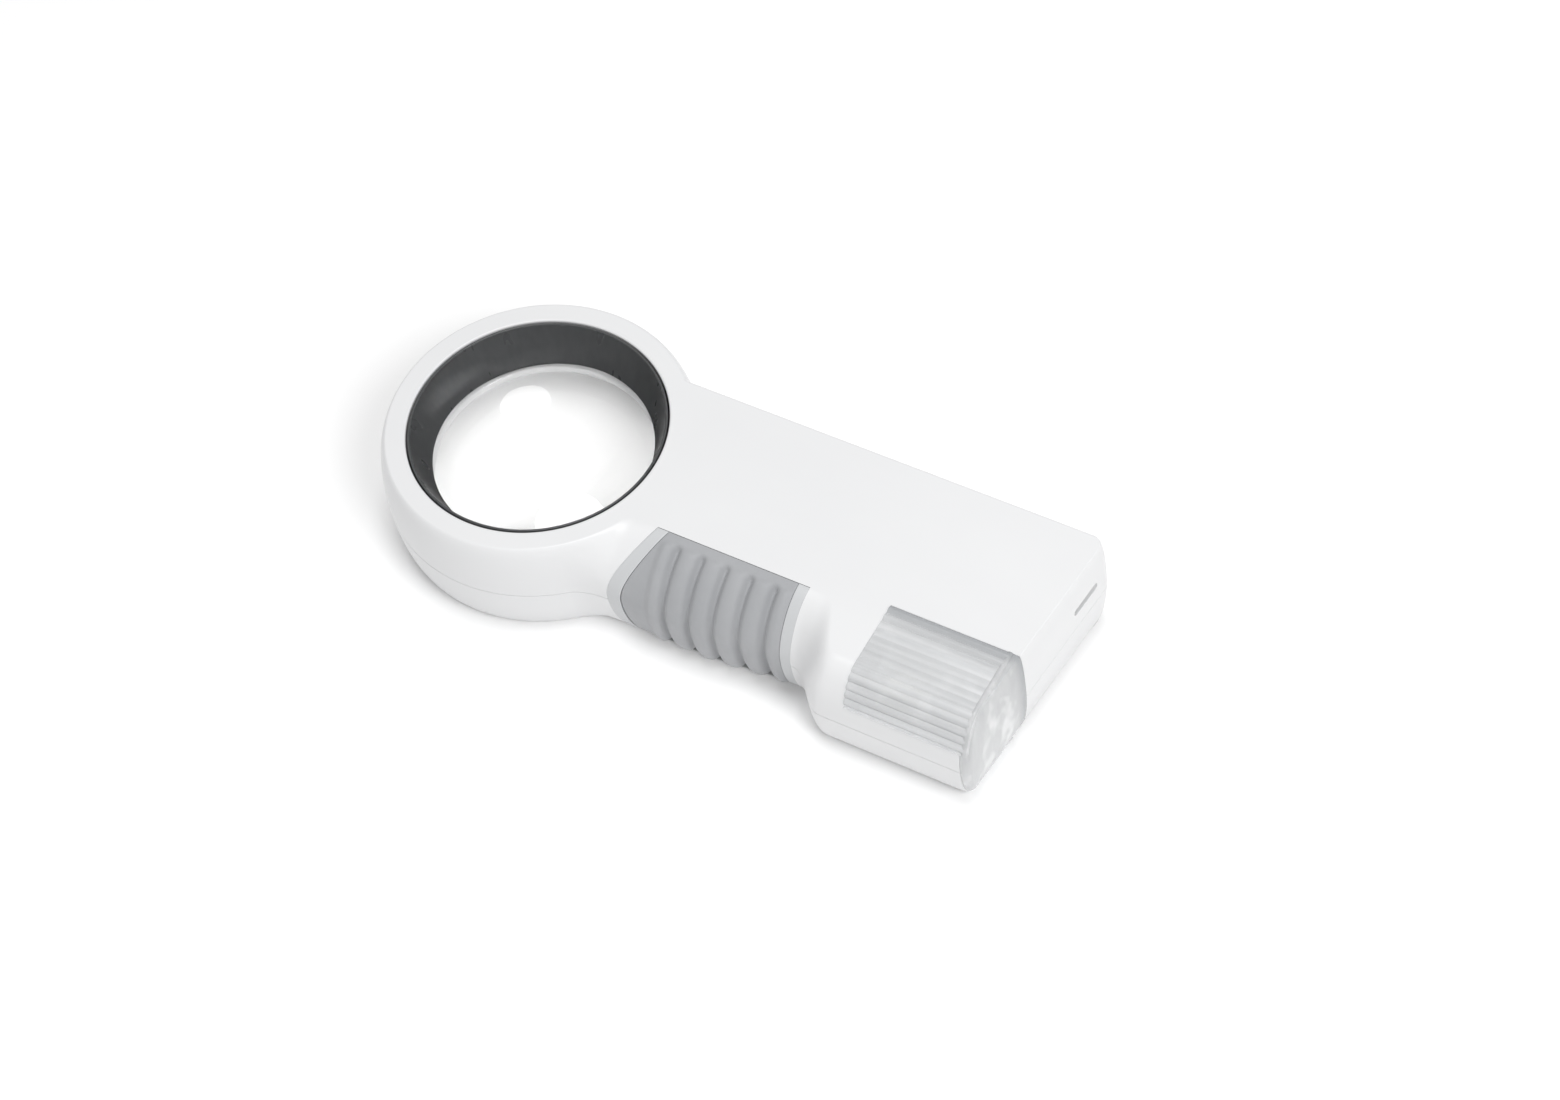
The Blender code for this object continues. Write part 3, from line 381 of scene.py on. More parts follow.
def handle_rim(rim, radius, extra=0):
    """The handle's outline from the head's front round the end and back to the head."""
    front_line, inset_front, inset_back, inset_end = rim
    length = FRONT_END_X - NECK_START_X
    count = round(length / FRONT_SPACING)
    stations = [NECK_START_X + length * k / count for k in range(count + 1)]
    front = [(x, front_line(x) + inset_front) for x in stations]
    corner = FRONT_CORNER_RADIUS + extra
    front_edge = front_line(100 * MM) + inset_front
    centre = (end_x(front_edge) - inset_end - corner, front_edge + corner)
    back_edge = BACK_Y - inset_back
    back_corner = max(BACK_CORNER_RADIUS - inset_back, 1.2 * MM)
    back_centre = (end_x(back_edge) - inset_end - back_corner, back_edge - back_corner)
    points = front + arc(centre, corner, -90, 0, 10)
    points += line(points[-1], (back_centre[0] + back_corner, back_centre[1]), 24)[1:]
    points += arc(back_centre, back_corner, 0, 90, 12)
    meeting = (math.sqrt(radius ** 2 - back_edge ** 2), back_edge)
    return points + line(points[-1], meeting, 40)[1:]


def neck(radius, target):
    """Lead the head's circle into the handle's front line, leaving out both ends."""
    angle = math.radians(NECK_ANGLE)
    start = Vector((radius * math.cos(angle), radius * math.sin(angle)))
    heading = Vector((-math.sin(angle), math.cos(angle)))
    reach = (target[1] - start.y) / heading.y
    corner = start + heading * reach * 0.97
    return [curve_point(start, corner, Vector(target), k / (NECK_POINTS + 1))
            for k in range(1, NECK_POINTS + 1)]


def rims(inset):
    """The widest, the top and the bottom rim: a front line, then front, back and end insets."""
    return ((front_y, inset, inset, inset),
            (front_top_y, inset, inset + BACK_TOP_INSET, inset + END_TOP_INSET),
            (front_y, inset + FRONT_BOTTOM_INSET, inset + BACK_BOTTOM_INSET,
             inset + END_BOTTOM_INSET))


def casing_outlines(inset=0.0):
    """The widest, the top and the bottom outline of the casing, drawn in step."""
    outlines = []
    for rim, ring_inset, extra in zip(rims(inset), RING_INSETS, CORNER_EXTRAS):
        front_line, front, back, _ = rim
        radius = RING_RADIUS - inset - ring_inset
        outline = arc((0, 0), radius, angle_at(radius, BACK_Y - back), 360 + NECK_ANGLE,
                      RING_POINTS)
        target = (NECK_START_X, front_line(NECK_START_X) + front)
        if outlines:
            outline += arc((0, 0), radius, NECK_ANGLE, angle_at(radius, target[1]),
                           NECK_POINTS + 2)[1:-1]
        else:
            outline += neck(radius, target)
        outlines.append(outline + handle_rim(rim, radius, extra))
    return outlines


def cavity_mesh(low_cut, high_cut):
    """The hollow of the handle, which starts at an arc round the head's solid wall."""
    outlines = []
    for rim in rims(WALL):
        front_line, front, back, _ = rim
        first_y = front_line(CAVITY_START_X - MM) + front
        outline = arc((0, 0), CAVITY_RADIUS, angle_at(CAVITY_RADIUS, BACK_Y - back),
                      angle_at(CAVITY_RADIUS, first_y), 24)
        handle = handle_rim(rim, CAVITY_RADIUS)
        outlines.append(outline + [point for point in handle if point[0] > CAVITY_START_X])
    return form_mesh(outlines, FLOOR, HEIGHT - WALL, low_cut, high_cut)


def section_share(t, power):
    """How far a side has moved from its widest line to its rim: 0 at t = 0 and 1 at t = 1."""
    return 1 - max(1 - t ** power, 0.0) ** (1 / power)


def shoulder_power(x, y):
    """The shoulder is flatter along the finger waist."""
    if y > 0:
        return 2.0
    fade = smooth_step(x, *FLAT_SHOULDER_START_X) * (1 - smooth_step(x, *FLAT_SHOULDER_END_X))
    return 2.0 + (SHOULDER_POWER - 2.0) * fade


def form_loop(outlines, z, bottom, top):
    """The form's outline at one height."""
    loop = []
    for wide, high, low in zip(*outlines):
        if z >= WIDEST_Z:
            share = section_share((z - WIDEST_Z) / (top - WIDEST_Z), shoulder_power(*wide))
            rim = high
        else:
            share = section_share((WIDEST_Z - z) / (WIDEST_Z - bottom), 2.0)
            rim = low
        loop.append((wide[0] + (rim[0] - wide[0]) * share,
                     wide[1] + (rim[1] - wide[1]) * share, z))
    return loop


def form_levels(bottom, top, low_cut, high_cut):
    """Heights between two cuts, closer together near the rims, where the form turns quickly."""
    steps = [90 * k / LEVELS for k in range(LEVELS + 1)]
    heights = [WIDEST_Z - (WIDEST_Z - bottom) * math.sin(math.radians(a)) for a in reversed(steps)]
    heights += [WIDEST_Z + (top - WIDEST_Z) * math.sin(math.radians(a)) for a in steps[1:]]
    margin = 0.004 * MM
    return [z for z in heights if low_cut + margin < z < high_cut - margin]


def form_mesh(outlines, bottom, top, low_cut, high_cut):
    """The form between two heights, as much of it as lies between two cuts."""
    levels = [low_cut] + form_levels(bottom, top, low_cut, high_cut) + [high_cut]
    return lofted([form_loop(outlines, z, bottom, top) for z in levels])


def half_form(upper):
    """One half of the casing's form, with its edge at the parting line rounded over."""
    side = 1 if upper else -1
    edge = SPLIT_Z + side * PARTING_GAP / 2
    loops = []
    for angle in (0, 30, 60, 90):
        rise = PARTING_ROUND * (1 - math.cos(math.radians(angle)))
        inset = PARTING_ROUND * (1 - math.sin(math.radians(angle)))
        loops.append(form_loop(casing_outlines(inset), edge + side * rise, 0, HEIGHT))
    if upper:
        levels = form_levels(0, HEIGHT, edge + 0.5 * MM, HEIGHT) + [HEIGHT]
    else:
        levels = ([0] + form_levels(0, HEIGHT, 0, edge - 0.5 * MM))[::-1]
    outer = casing_outlines()
    loops += [form_loop(outer, z, 0, HEIGHT) for z in levels]
    return lofted(loops if upper else loops[::-1])


# ---- casing

def grip_outline(arc_radius, right_x, back_y):
    """Plan of the grip: its left end follows the round head."""
    left = arc((0, 0), arc_radius, angle_at(arc_radius, OUTSIDE_Y),
               angle_at(arc_radius, back_y), 24)
    return left + [(right_x, back_y), (right_x, OUTSIDE_Y)]


def grip_recess():
    return prism_z(grip_outline(GRIP_ARC_RADIUS, GRIP_RIGHT_X, GRIP_BACK_Y), *RECESS_Z)


def cap_opening():
    return box_mesh((COVER_CAP_X, BLOCK_Y - BEYOND, -BEYOND),
                    (END_X + BEYOND, COVER_BACK_Y, HEIGHT + BEYOND))


def bore_cutter(other_z, flare_z, sign):
    """The bore, whose outer edge is rounded at flare_z; sign is +1 at the top, -1 underneath."""
    flare = ((0, -0.4), (0.08, -0.18), (0.24, -0.04), (0.5, 0.02), (0.5, BEYOND / MM))
    edge = [(BORE_RADIUS + out * MM, flare_z + sign * up * MM) for out, up in flare]
    return turned([(0, other_z), (BORE_RADIUS, other_z)] + edge + [(0, edge[-1][1])])


def make_upper_shell(material):
    window = box_mesh((COVER_LEFT_X, BLOCK_Y - BEYOND, COVER_SILL_Z),
                      (END_X + BEYOND + MM, COVER_BACK_Y, HEIGHT + BEYOND))
    slot = box_mesh((END_X - 11 * MM, SLOT_Y[0], SLOT_Z[0]), (END_X + BEYOND, SLOT_Y[1], SLOT_Z[1]))
    lengthways = [e for e in slot.edges if abs(e.verts[0].co.x - e.verts[1].co.x) > MM]
    bevel(slot, lengthways, SLOT_ROUND, 6)
    steps = [(CUT, bore_cutter(0, HEIGHT, 1)),
             (CUT, cavity_mesh(SPLIT_Z - MM, HEIGHT - WALL))]
    steps += [(JOIN, cylinder(UPPER_BOSS_RADIUS, SPLIT_Z + GAP, HEIGHT - MM, (x, y, 0)))
              for x, y in SCREW_PLACES[1:]]
    steps += [(CUT, grip_recess()), (CUT, cap_opening()), (CUT, window)]
    for x, y in SCREW_PLACES:
        steps.append((CUT, cylinder(PILOT_HOLE_RADIUS, SCREW_SEAT_Z, SCREW_TIP_Z + MM, (x, y, 0))))
    steps.append((CUT, slot))
    add_piece("upper_casing", carve(half_form(True), steps), ["upper_shell"], material)


def door_outline(clearance):
    """The door's section in Y and Z: a plate with a flange that runs above the shell's lips."""
    front, back = DOOR_Y
    low = -1 * MM if clearance == 0 else GAP
    high = FLOOR + 0.4 * MM if clearance == 0 else FLOOR
    lip = DOOR_LIP_Z + clearance
    return [
        (front + clearance, low), (back - clearance, low), (back - clearance, lip),
        (back + DOOR_FLANGE - clearance, lip), (back + DOOR_FLANGE - clearance, high),
        (front - DOOR_FLANGE + clearance, high), (front - DOOR_FLANGE + clearance, lip),
        (front + clearance, lip),
    ]


def make_lower_shell(material):
    seat = cylinder(SLEEVE_FLANGE_RADIUS + GAP, SLEEVE_BOTTOM - GAP, HEIGHT,
                    segments=ROUND_SEGMENTS)
    steps = [(CUT, bore_cutter(HEIGHT, 0, -1)), (CUT, seat),
             (CUT, cavity_mesh(FLOOR, SPLIT_Z + MM))]
    steps += [(JOIN, cylinder(LOWER_BOSS_RADIUS, MM, SPLIT_Z - GAP, (x, y, 0)))
              for x, y in SCREW_PLACES[1:]]
    toe = prism_z(grip_outline(GRIP_ARC_RADIUS, GRIP_RIGHT_X, TOE_BACK_Y), GRIP_BOTTOM,
                  RECESS_Z[0] + GAP)
    steps += [(CUT, grip_recess()), (CUT, toe), (CUT, cap_opening())]
    rooted = FLOOR - MM
    for x in (HINGE_LEFT_X, HINGE_RIGHT_X - POST_THICKNESS):
        post = box_mesh((x, HINGE_Y - 1.6 * MM, rooted),
                        (x + POST_THICKNESS, HINGE_Y + 1.6 * MM, HINGE_Z + 1.5 * MM))
        steps.append((JOIN, post))
    bay_wall = box_mesh((COVER_LEFT_X + 0.6 * MM, -13.6 * MM, rooted),
                        (COVER_CAP_X - 0.2 * MM, -12.5 * MM, HEIGHT - WALL - 0.7 * MM))
    pin_hole = cylinder(HINGE_HOLE_RADIUS, HINGE_LEFT_X - BEYOND, HINGE_RIGHT_X + BEYOND,
                        (0, HINGE_Y, HINGE_Z), "X")
    door_way = prism_x(door_outline(0), DOOR_LEFT_X, END_X + 2 * MM)
    pocket = box_mesh((BORE_RADIUS - MM, -POCKET_WIDTH / 2, POCKET_Z[0]),
                      (CAVITY_RADIUS + MM, POCKET_WIDTH / 2, POCKET_Z[1]))
    steps += [(JOIN, bay_wall), (CUT, pin_hole), (CUT, door_way), (CUT, pocket)]
    for x, y in SCREW_PLACES:
        profile = [(0, -MM), (HEAD_HOLE_RADIUS + 0.6 * MM, -0.3 * MM),
                   (HEAD_HOLE_RADIUS, 0.3 * MM), (HEAD_HOLE_RADIUS, SCREW_SEAT_Z),
                   (SHANK_HOLE_RADIUS, SCREW_SEAT_Z), (SHANK_HOLE_RADIUS, SPLIT_Z + MM),
                   (0, SPLIT_Z + MM)]
        steps.append((CUT, turned(profile, (x, y, 0), segments=48)))
    add_piece("lower_casing", carve(half_form(False), steps), ["lower_shell"], material)


# ---- lens head

def cap_profile(apex, edge, radius, steps):
    """Points on a spherical cap from the axis out to its edge."""
    sag = apex - edge
    ball = (radius ** 2 + sag ** 2) / (2 * abs(sag))
    sign = 1 if sag > 0 else -1
    reaches = [radius * k / steps for k in range(steps + 1)]
    return [(r, apex - sign * (ball - math.sqrt(ball ** 2 - r ** 2))) for r in reaches]


def make_lens(material):
    bevel = 0.25 * MM
    radius = LENS_RADIUS - bevel
    upper = cap_profile(LENS_EDGE_TOP + LENS_SAG, LENS_EDGE_TOP, radius, 40)
    lower = cap_profile(LENS_EDGE_BOTTOM - LENS_LOWER_SAG, LENS_EDGE_BOTTOM, radius, 40)
    rim = [(LENS_RADIUS, LENS_EDGE_TOP - bevel), (LENS_RADIUS, LENS_EDGE_BOTTOM + bevel)]
    add_piece("glass_lens", turned(upper + rim + lower[::-1]), ["lens"], material)


def make_sleeve(material):
    outer = BORE_RADIUS - GAP
    corners = [
        (outer, SLEEVE_TOP), (outer - 0.45 * MM, SLEEVE_TOP),
        (SLEEVE_LIP_RADIUS + 0.1 * MM, SLEEVE_LIP_Z + 0.35 * MM), (SLEEVE_LIP_RADIUS, SLEEVE_LIP_Z),
        (SLEEVE_SEAT_RADIUS, SLEEVE_LIP_Z - 0.1 * MM), (SLEEVE_SEAT_RADIUS, SLEEVE_BOTTOM),
        (SLEEVE_FLANGE_RADIUS, SLEEVE_BOTTOM), (SLEEVE_FLANGE_RADIUS, SPLIT_Z - 0.6 * MM),
        (outer, SPLIT_Z - 0.6 * MM),
    ]
    sleeve = turned(rounded_profile(corners, 0.2 * MM))
    add_piece("sleeve", sleeve, ["lens_sleeve"], material)


def make_retainer(material):
    """The ring that holds the lens from below, with four slots for its spanner."""
    inner, outer = RETAINER_RADII
    low, high = RETAINER_Z
    corners = [(inner, low), (outer, low), (outer, high), (outer - 0.6 * MM, high),
               (inner, high - 0.8 * MM)]
    middle = (inner + outer) / 2
    steps = []
    for quarter in range(4):
        angle = math.radians(45 + 90 * quarter)
        centre = (middle * math.cos(angle), middle * math.sin(angle), 0)
        notch = cylinder(0.75 * MM, low - 0.9 * MM, low + 0.8 * MM, centre, segments=24)
        steps.append((CUT, notch))
    ring = carve(turned(rounded_profile(corners, 0.15 * MM)), steps)
    add_piece("retaining_ring", ring, ["lens_retainer"], material)


def make_light_window(material):
    """A clear window with a round collecting lens moulded into its inner side."""
    half = POCKET_WIDTH / 2 - GAP
    low, high = POCKET_Z[0] + GAP, POCKET_Z[1] - GAP
    start, end = WINDOW_X
    pane = box_mesh((start, -half, low), (end, half, high))
    bevel(pane, list(pane.edges), 0.25 * MM, 3)
    root = end - 0.2 * MM
    dome = [(r, root + h) for r, h in cap_profile(0.9 * MM, 0, 1.9 * MM, 10)]
    bulge = turned(dome + [(0, root)], (0, 0, (low + high) / 2), "X", 48)
    add_piece("reading_window", carve(pane, [(JOIN, bulge)]), ["light_window"], material)


# ---- grip

def side_point(x, degrees):
    """A point of the casing's front side: 90 degrees is the top rim, -90 the bottom rim."""
    t = math.sin(math.radians(abs(degrees)))
    front = front_y(x)
    if degrees >= 0:
        power = shoulder_power(x, front)
        y = front + (front_top_y(x) - front) * section_share(t, power)
        return Vector((x, y, WIDEST_Z + (HEIGHT - WIDEST_Z) * t))
    return Vector((x, front + FRONT_BOTTOM_INSET * section_share(t, 2.0), WIDEST_Z * (1 - t)))


def side_normal(x, degrees):
    along = side_point(x + 0.1 * MM, degrees) - side_point(x - 0.1 * MM, degrees)
    up = side_point(x, min(degrees + 0.5, 89.9)) - side_point(x, degrees - 0.5)
    return along.cross(up).normalized()


def degrees_at_y(x, y):
    """Where the shoulder passes a given Y."""
    low, high = 0.0, 90.0
    for _ in range(24):
        middle = (low + high) / 2
        if side_point(x, middle).y < y:
            low = middle
        else:
            high = middle
    return (low + high) / 2


def edge_spaced(count, length, edge):
    """Fractions from 0 to 1, closer together within an edge's width of both ends."""
    near = [edge / length * f for f in (0, 0.06, 0.2, 0.45, 0.75)]
    inner = [edge / length + (1 - 2 * edge / length) * k / count for k in range(count + 1)]
    return near + inner + [1 - f for f in near[::-1]]


def roll_off(distance, radius):
    """How far a rounded border falls below its surface."""
    share = 1 - min(max(distance / radius, 0.0), 1.0)
    return radius * (1 - math.sqrt(1 - share ** 2))


def skin_patch(left_of, right_of, back_y, bottom_z, depth, relief, border, columns, rows):
    """A slab that follows the casing's front side between two side lines.

    left_of and right_of give X for a point, and relief gives the height above the casing.
    """
    bottom = -math.degrees(math.asin(1 - bottom_z / WIDEST_Z))
    length = 26 * MM
    middle = Vector((50 * MM, WAIST_Y, WIDEST_Z))
    width = right_of(middle) - left_of(middle)
    across = edge_spaced(columns, width, min(border, width * 0.3))
    outer, inner = [], []
    for v in edge_spaced(rows, length, border):
        outer.append([])
        inner.append([])
        for u in across:
            x = middle.x
            for _ in range(4):
                top = degrees_at_y(x, back_y)
                degrees = top + (bottom - top) * v
                here = side_point(x, degrees)
                here_width = right_of(here) - left_of(here)
                x = left_of(here) + here_width * u
            point = side_point(x, degrees)
            normal = side_normal(x, degrees)
            sink = max(roll_off(min(u, 1 - u) * here_width, border),
                       roll_off(min(v, 1 - v) * length, border))
            outer[-1].append(point + normal * (relief(point) - sink))
            inner[-1].append(point - normal * depth)
    return slab(outer, inner)


def slab(outer, inner):
    """Close two grids of points into one body along their shared border."""
    shape = bmesh.new()
    sides = [[[shape.verts.new(p) for p in row] for row in grid] for grid in (outer, inner)]
    rows, columns = len(outer), len(outer[0])
    for grid in sides:
        for j in range(rows - 1):
            for k in range(columns - 1):
                shape.faces.new((grid[j][k], grid[j][k + 1], grid[j + 1][k + 1],
                                     grid[j + 1][k]))
    border = [(0, k) for k in range(columns)] + [(j, columns - 1) for j in range(1, rows)]
    border += [(rows - 1, k) for k in range(columns - 2, -1, -1)]
    border += [(j, 0) for j in range(rows - 2, 0, -1)]
    for (j, k), (m, n) in zip(border, border[1:] + border[:1]):
        shape.faces.new((sides[0][j][k], sides[1][j][k], sides[1][m][n], sides[0][m][n]))
    return shape


def rib_relief(point):
    """Rounded ridges between the grooves; they fade in below the smooth upper border."""
    first = GROOVE_FIRST_X - GROOVE_PITCH * 0.5
    last = GROOVE_FIRST_X + GROOVE_PITCH * (GROOVE_COUNT - 0.5)
    phase = 2 * math.pi * (point.x - GROOVE_FIRST_X) / GROOVE_PITCH
    valley = (0.5 + 0.5 * math.cos(phase)) ** 4.5
    crest = (0.5 - 0.5 * math.cos(phase)) ** 0.8
    among = smooth_step(point.x, first - 1.5 * MM, first + 0.4 * MM)
    among *= 1 - smooth_step(point.x, last - 0.4 * MM, last + 1.5 * MM)
    fade = smooth_step(-point.y, *GROOVE_FADE)
    return among * fade * (RIDGE_HEIGHT * crest - GROOVE_DEPTH * valley)


def make_grip(rubber, trim):
    """The pad nearly touches its trims; only at the lower left it needs room to rock inwards."""
    trim_inner = GRIP_ARC_RADIUS + GAP + TRIM_WIDTH
    trim_right_inner = GRIP_RIGHT_X - GAP - TRIM_WIDTH

    def circle(radius):
        return lambda point: math.sqrt(radius ** 2 - point.y ** 2)

    def pad_left(point):
        room = PAD_GAP + PAD_SWING_ROOM * max(HINGE_Z - point.z, 0.0)
        return math.sqrt((trim_inner + room) ** 2 - point.y ** 2)

    def straight(x):
        return lambda point: x

    pad = skin_patch(pad_left, straight(trim_right_inner - PAD_GAP), GRIP_BACK_Y - PAD_GAP,
                     GRIP_BOTTOM + 0.8 * MM, PAD_THICKNESS, rib_relief, 0.18 * MM, 130, 80)
    add_piece("grip_cushion", pad, ["grip_pad"], rubber, body="grip", smooth_angle=60)
    sides = (("left", circle(GRIP_ARC_RADIUS + FIXED_GAP), circle(trim_inner)),
             ("right", straight(trim_right_inner), straight(GRIP_RIGHT_X - FIXED_GAP)))
    for side, left_of, right_of in sides:
        strip = skin_patch(left_of, right_of, GRIP_BACK_Y - FIXED_GAP, GRIP_BOTTOM + FIXED_GAP,
                           TRIM_DEPTH, lambda point: 0.0, 0.12 * MM, 8, 80)
        add_piece(f"trim_{side}", strip, [f"grip_trim_{side}"], trim, smooth_angle=60)


# ---- lamp cover

def block_side_path(low_z):
    """The end block's section from the cover's back edge, over the corner, down its front."""
    path = [(COVER_BACK_Y - COVER_GAP, HEIGHT), (BLOCK_TOP_Y, HEIGHT)]
    for k in range(1, 73):
        share = math.sin(math.radians(90 - k))
        z = WIDEST_Z + (HEIGHT - WIDEST_Z) * share
        if z < low_z:
            break
        path.append((BLOCK_Y + (BLOCK_TOP_Y - BLOCK_Y) * section_share(share, 2.0), z))
    return [Vector(point) for point in path]


def walk(path, spacing):
    """Evenly spaced points on a path, with the normal on its right at each."""
    points = []
    travelled = 0.0
    for start, end in zip(path, path[1:]):
        length = (end - start).length
        heading = (end - start) / length
        while travelled <= length:
            points.append((start + heading * travelled, Vector((heading.y, -heading.x))))
            travelled += spacing
        travelled -= length
    return points


def cover_outline(outward_of):
    """The cover's section, its outer side raised by outward_of(share of a rib, point)."""
    sill = COVER_SILL_Z + COVER_GAP
    path = block_side_path(sill)
    parts = 12
    outer = [point + outward * outward_of(k / parts, point)
             for k, (point, outward) in enumerate(walk(path, RIB_PITCH / parts))]
    inner = []
    for point, behind, ahead in zip(path, path[:1] + path, path[1:] + path[-1:]):
        heading = (ahead - behind).normalized()
        inside = point + Vector((heading.y, -heading.x)) * -COVER_THICKNESS
        inside.y = max(inside.y, sill)
        if not inner or (inside - inner[-1]).length > 0.05 * MM:
            inner.append(inside)
    return [tuple(point) for point in outer + inner[::-1]]


def reed(share, point):
    """Small rounded reeds, lower in the middle of the flat top than along its two edges."""
    from_back = COVER_BACK_Y - point.x
    low = smooth_step(from_back, 2.5 * MM, 5 * MM) * (1 - smooth_step(from_back, 12 * MM, 17 * MM))
    height = RIB_HEIGHT + (RIB_TOP_HEIGHT - RIB_HEIGHT) * low
    return height * abs(math.sin(math.pi * share))


def cover_bead():
    """The rounded bead between the ribbed skin and the smooth end cap."""
    loops = []
    for k in range(9):
        x = COVER_CAP_X + 0.3 * MM + BEAD_WIDTH * (0.5 - 0.5 * math.cos(math.pi * k / 8))
        rise = BEAD_HEIGHT * math.sin(math.pi * k / 8)
        outline = cover_outline(lambda share, point: rise)
        loops.append([(x, y, z) for y, z in outline])
    return lofted(loops)


def make_lamp_cover(skin_material, cap_material):
    skin = prism_x(cover_outline(reed), COVER_LEFT_X + COVER_GAP, COVER_CAP_X + 0.9 * MM)
    limit = box_mesh((COVER_CAP_X + COVER_GAP, BLOCK_Y - BEYOND, -BEYOND),
                     (END_X + BEYOND, COVER_BACK_Y - COVER_GAP, HEIGHT + BEYOND))
    cap = carve(form_mesh(casing_outlines(), 0, HEIGHT, 0, HEIGHT), [("INTERSECT", limit)])
    door_way = prism_x(door_outline(0), COVER_CAP_X - MM, END_X + 2 * MM)
    cover = carve(skin, [(JOIN, cap), (JOIN, cover_bead()), (CUT, door_way)])
    for face in cover.faces:
        if face.calc_center_median().x > COVER_CAP_X + 0.35 * MM:
            face.material_index = 1
    add_piece("ribbed_cover", cover, ["lamp_cover"], skin_material, cap_material,
              body="lamp_cover")


# ---- underside

def make_door(material):
    """The sliding door, with a ridged thumb recess and an arrow near its free end."""
    plate = prism_x(door_outline(GAP), DOOR_LEFT_X + GAP, END_X + 2 * MM)
    thumb = Vector((THUMB_X, (DOOR_Y[0] + DOOR_Y[1]) / 2, 0))
    floor = GAP
    below = floor - 2 * MM
    bowl = cap_profile(floor + THUMB_DEPTH, floor, THUMB_RADIUS, 16)
    dish = turned([(0, below), (THUMB_RADIUS, below)] + bowl[::-1], thumb, "Z", 96)
    steps = [("INTERSECT", form_mesh(casing_outlines(GAP), 0, HEIGHT, 0, HEIGHT)), (CUT, dish)]
    for k in range(THUMB_RIDGES):
        offset = (k - (THUMB_RIDGES - 1) / 2) * 2.2 * MM
        half = math.sqrt((THUMB_RADIUS - 1.5 * MM) ** 2 - offset ** 2)
        ridge = cylinder(0.45 * MM, thumb.y - half, thumb.y + half, axis="X", segments=24)
        for vert in ridge.verts:
            vert.co = Vector((thumb.x + offset + vert.co.y, vert.co.x,
                              floor + 0.75 * MM + vert.co.z))
        steps.append((JOIN, ridge))
    tip_x = thumb.x - THUMB_RADIUS - 3 * MM
    tail_x = tip_x - 3.5 * MM
    arrow = prism_z([(tip_x, thumb.y), (tail_x, thumb.y - 2.2 * MM), (tail_x, thumb.y + 2.2 * MM)],
                    -MM, floor + 0.35 * MM)
    steps.append((CUT, arrow))
    add_piece("sliding_door", carve(plate, steps), ["battery_door"], material,
              body="battery_door")


def make_screw(number, spot, material):
    """A pan-head screw with a cross recess, driven from below."""
    x, y = spot
    top = SCREW_SEAT_Z - GAP
    low = top - 1.4 * MM
    corners = [(0, low), (SCREW_HEAD_RADIUS, low), (SCREW_HEAD_RADIUS, top),
               (SCREW_SHANK_RADIUS, top), (SCREW_SHANK_RADIUS, SCREW_TIP_Z - 0.6 * MM),
               (0, SCREW_TIP_Z)]
    body = turned(rounded_profile(corners, 0.5 * MM), (x, y, 0), segments=64)
    half, long = 0.26 * MM, 1.15 * MM
    steps = []
    for w, h in ((half, long), (long, half)):
        steps.append((CUT, box_mesh((x - w, y - h, low - MM), (x + w, y + h, low + 0.8 * MM))))
    add_piece(f"screw_{number}", carve(body, steps), [f"case_screw_{number}"], material)


def make_cell(name, node, nipple_right, material):
    """A round cell: a jacket with a stepped disc at one end and a nipple at the other."""
    low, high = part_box(node)
    centre = (low[0] - LENS_X, (low[1] + high[1]) / 2, (low[2] + high[2]) / 2)
    shoulder = CELL_LENGTH - 1.2 * MM
    corners = [(0, 0.3 * MM), (4.5 * MM, 0.3 * MM), (4.9 * MM, 0), (CELL_RADIUS, 0),
               (CELL_RADIUS, shoulder), (5.6 * MM, shoulder), (5.3 * MM, shoulder - 0.4 * MM),
               (2.7 * MM, shoulder - 0.3 * MM), (2.6 * MM, CELL_LENGTH), (0, CELL_LENGTH)]
    profile = rounded_profile(corners, 0.4 * MM)
    if not nipple_right:
        profile = [(r, CELL_LENGTH - x) for r, x in profile]
    cell = turned(profile, centre, "X", 96)
    add_piece(name, cell, [node], material)


# ---- materials

def fill_inputs(node, settings):
    """Link each input that is given a socket, and set every other one to its own value."""
    for name, setting in settings.items():
        if isinstance(setting, bpy.types.NodeSocket):
            node.id_data.links.new(setting, node.inputs[name])
        else:
            node.inputs[name].default_value = setting


def add_node(tree, kind, settings):
    node = tree.nodes.new(kind)
    fill_inputs(node, settings)
    return node


def new_material(name, colour, roughness, metallic=0.0, transmission=0.0, ior=1.5):
    """A new material with its node tree and its shader."""
    material = bpy.data.materials.new(name)
    material.use_nodes = True
    tree = material.node_tree
    shader = tree.nodes["Principled BSDF"]
    fill_inputs(shader, {"Base Color": (*colour, 1), "Roughness": roughness, "IOR": ior,
                         "Metallic": metallic, "Transmission Weight": transmission})
    return material, tree, shader


def place(tree, scale=(1, 1, 1), turn=(0, 0, 0)):
    """Object coordinates, stretched and turned."""
    coordinates = tree.nodes.new("ShaderNodeTexCoord").outputs["Object"]
    turn = [math.radians(angle) for angle in turn]
    settings = {"Vector": coordinates, "Scale": scale, "Rotation": turn}
    return add_node(tree, "ShaderNodeMapping", settings).outputs["Vector"]


def noise(tree, scale, stretch=(1, 1, 1), detail=4.0, roughness=0.55):
    settings = {"Vector": place(tree, stretch), "Scale": scale, "Detail": detail,
                "Roughness": roughness}
    return add_node(tree, "ShaderNodeTexNoise", settings).outputs["Fac"]


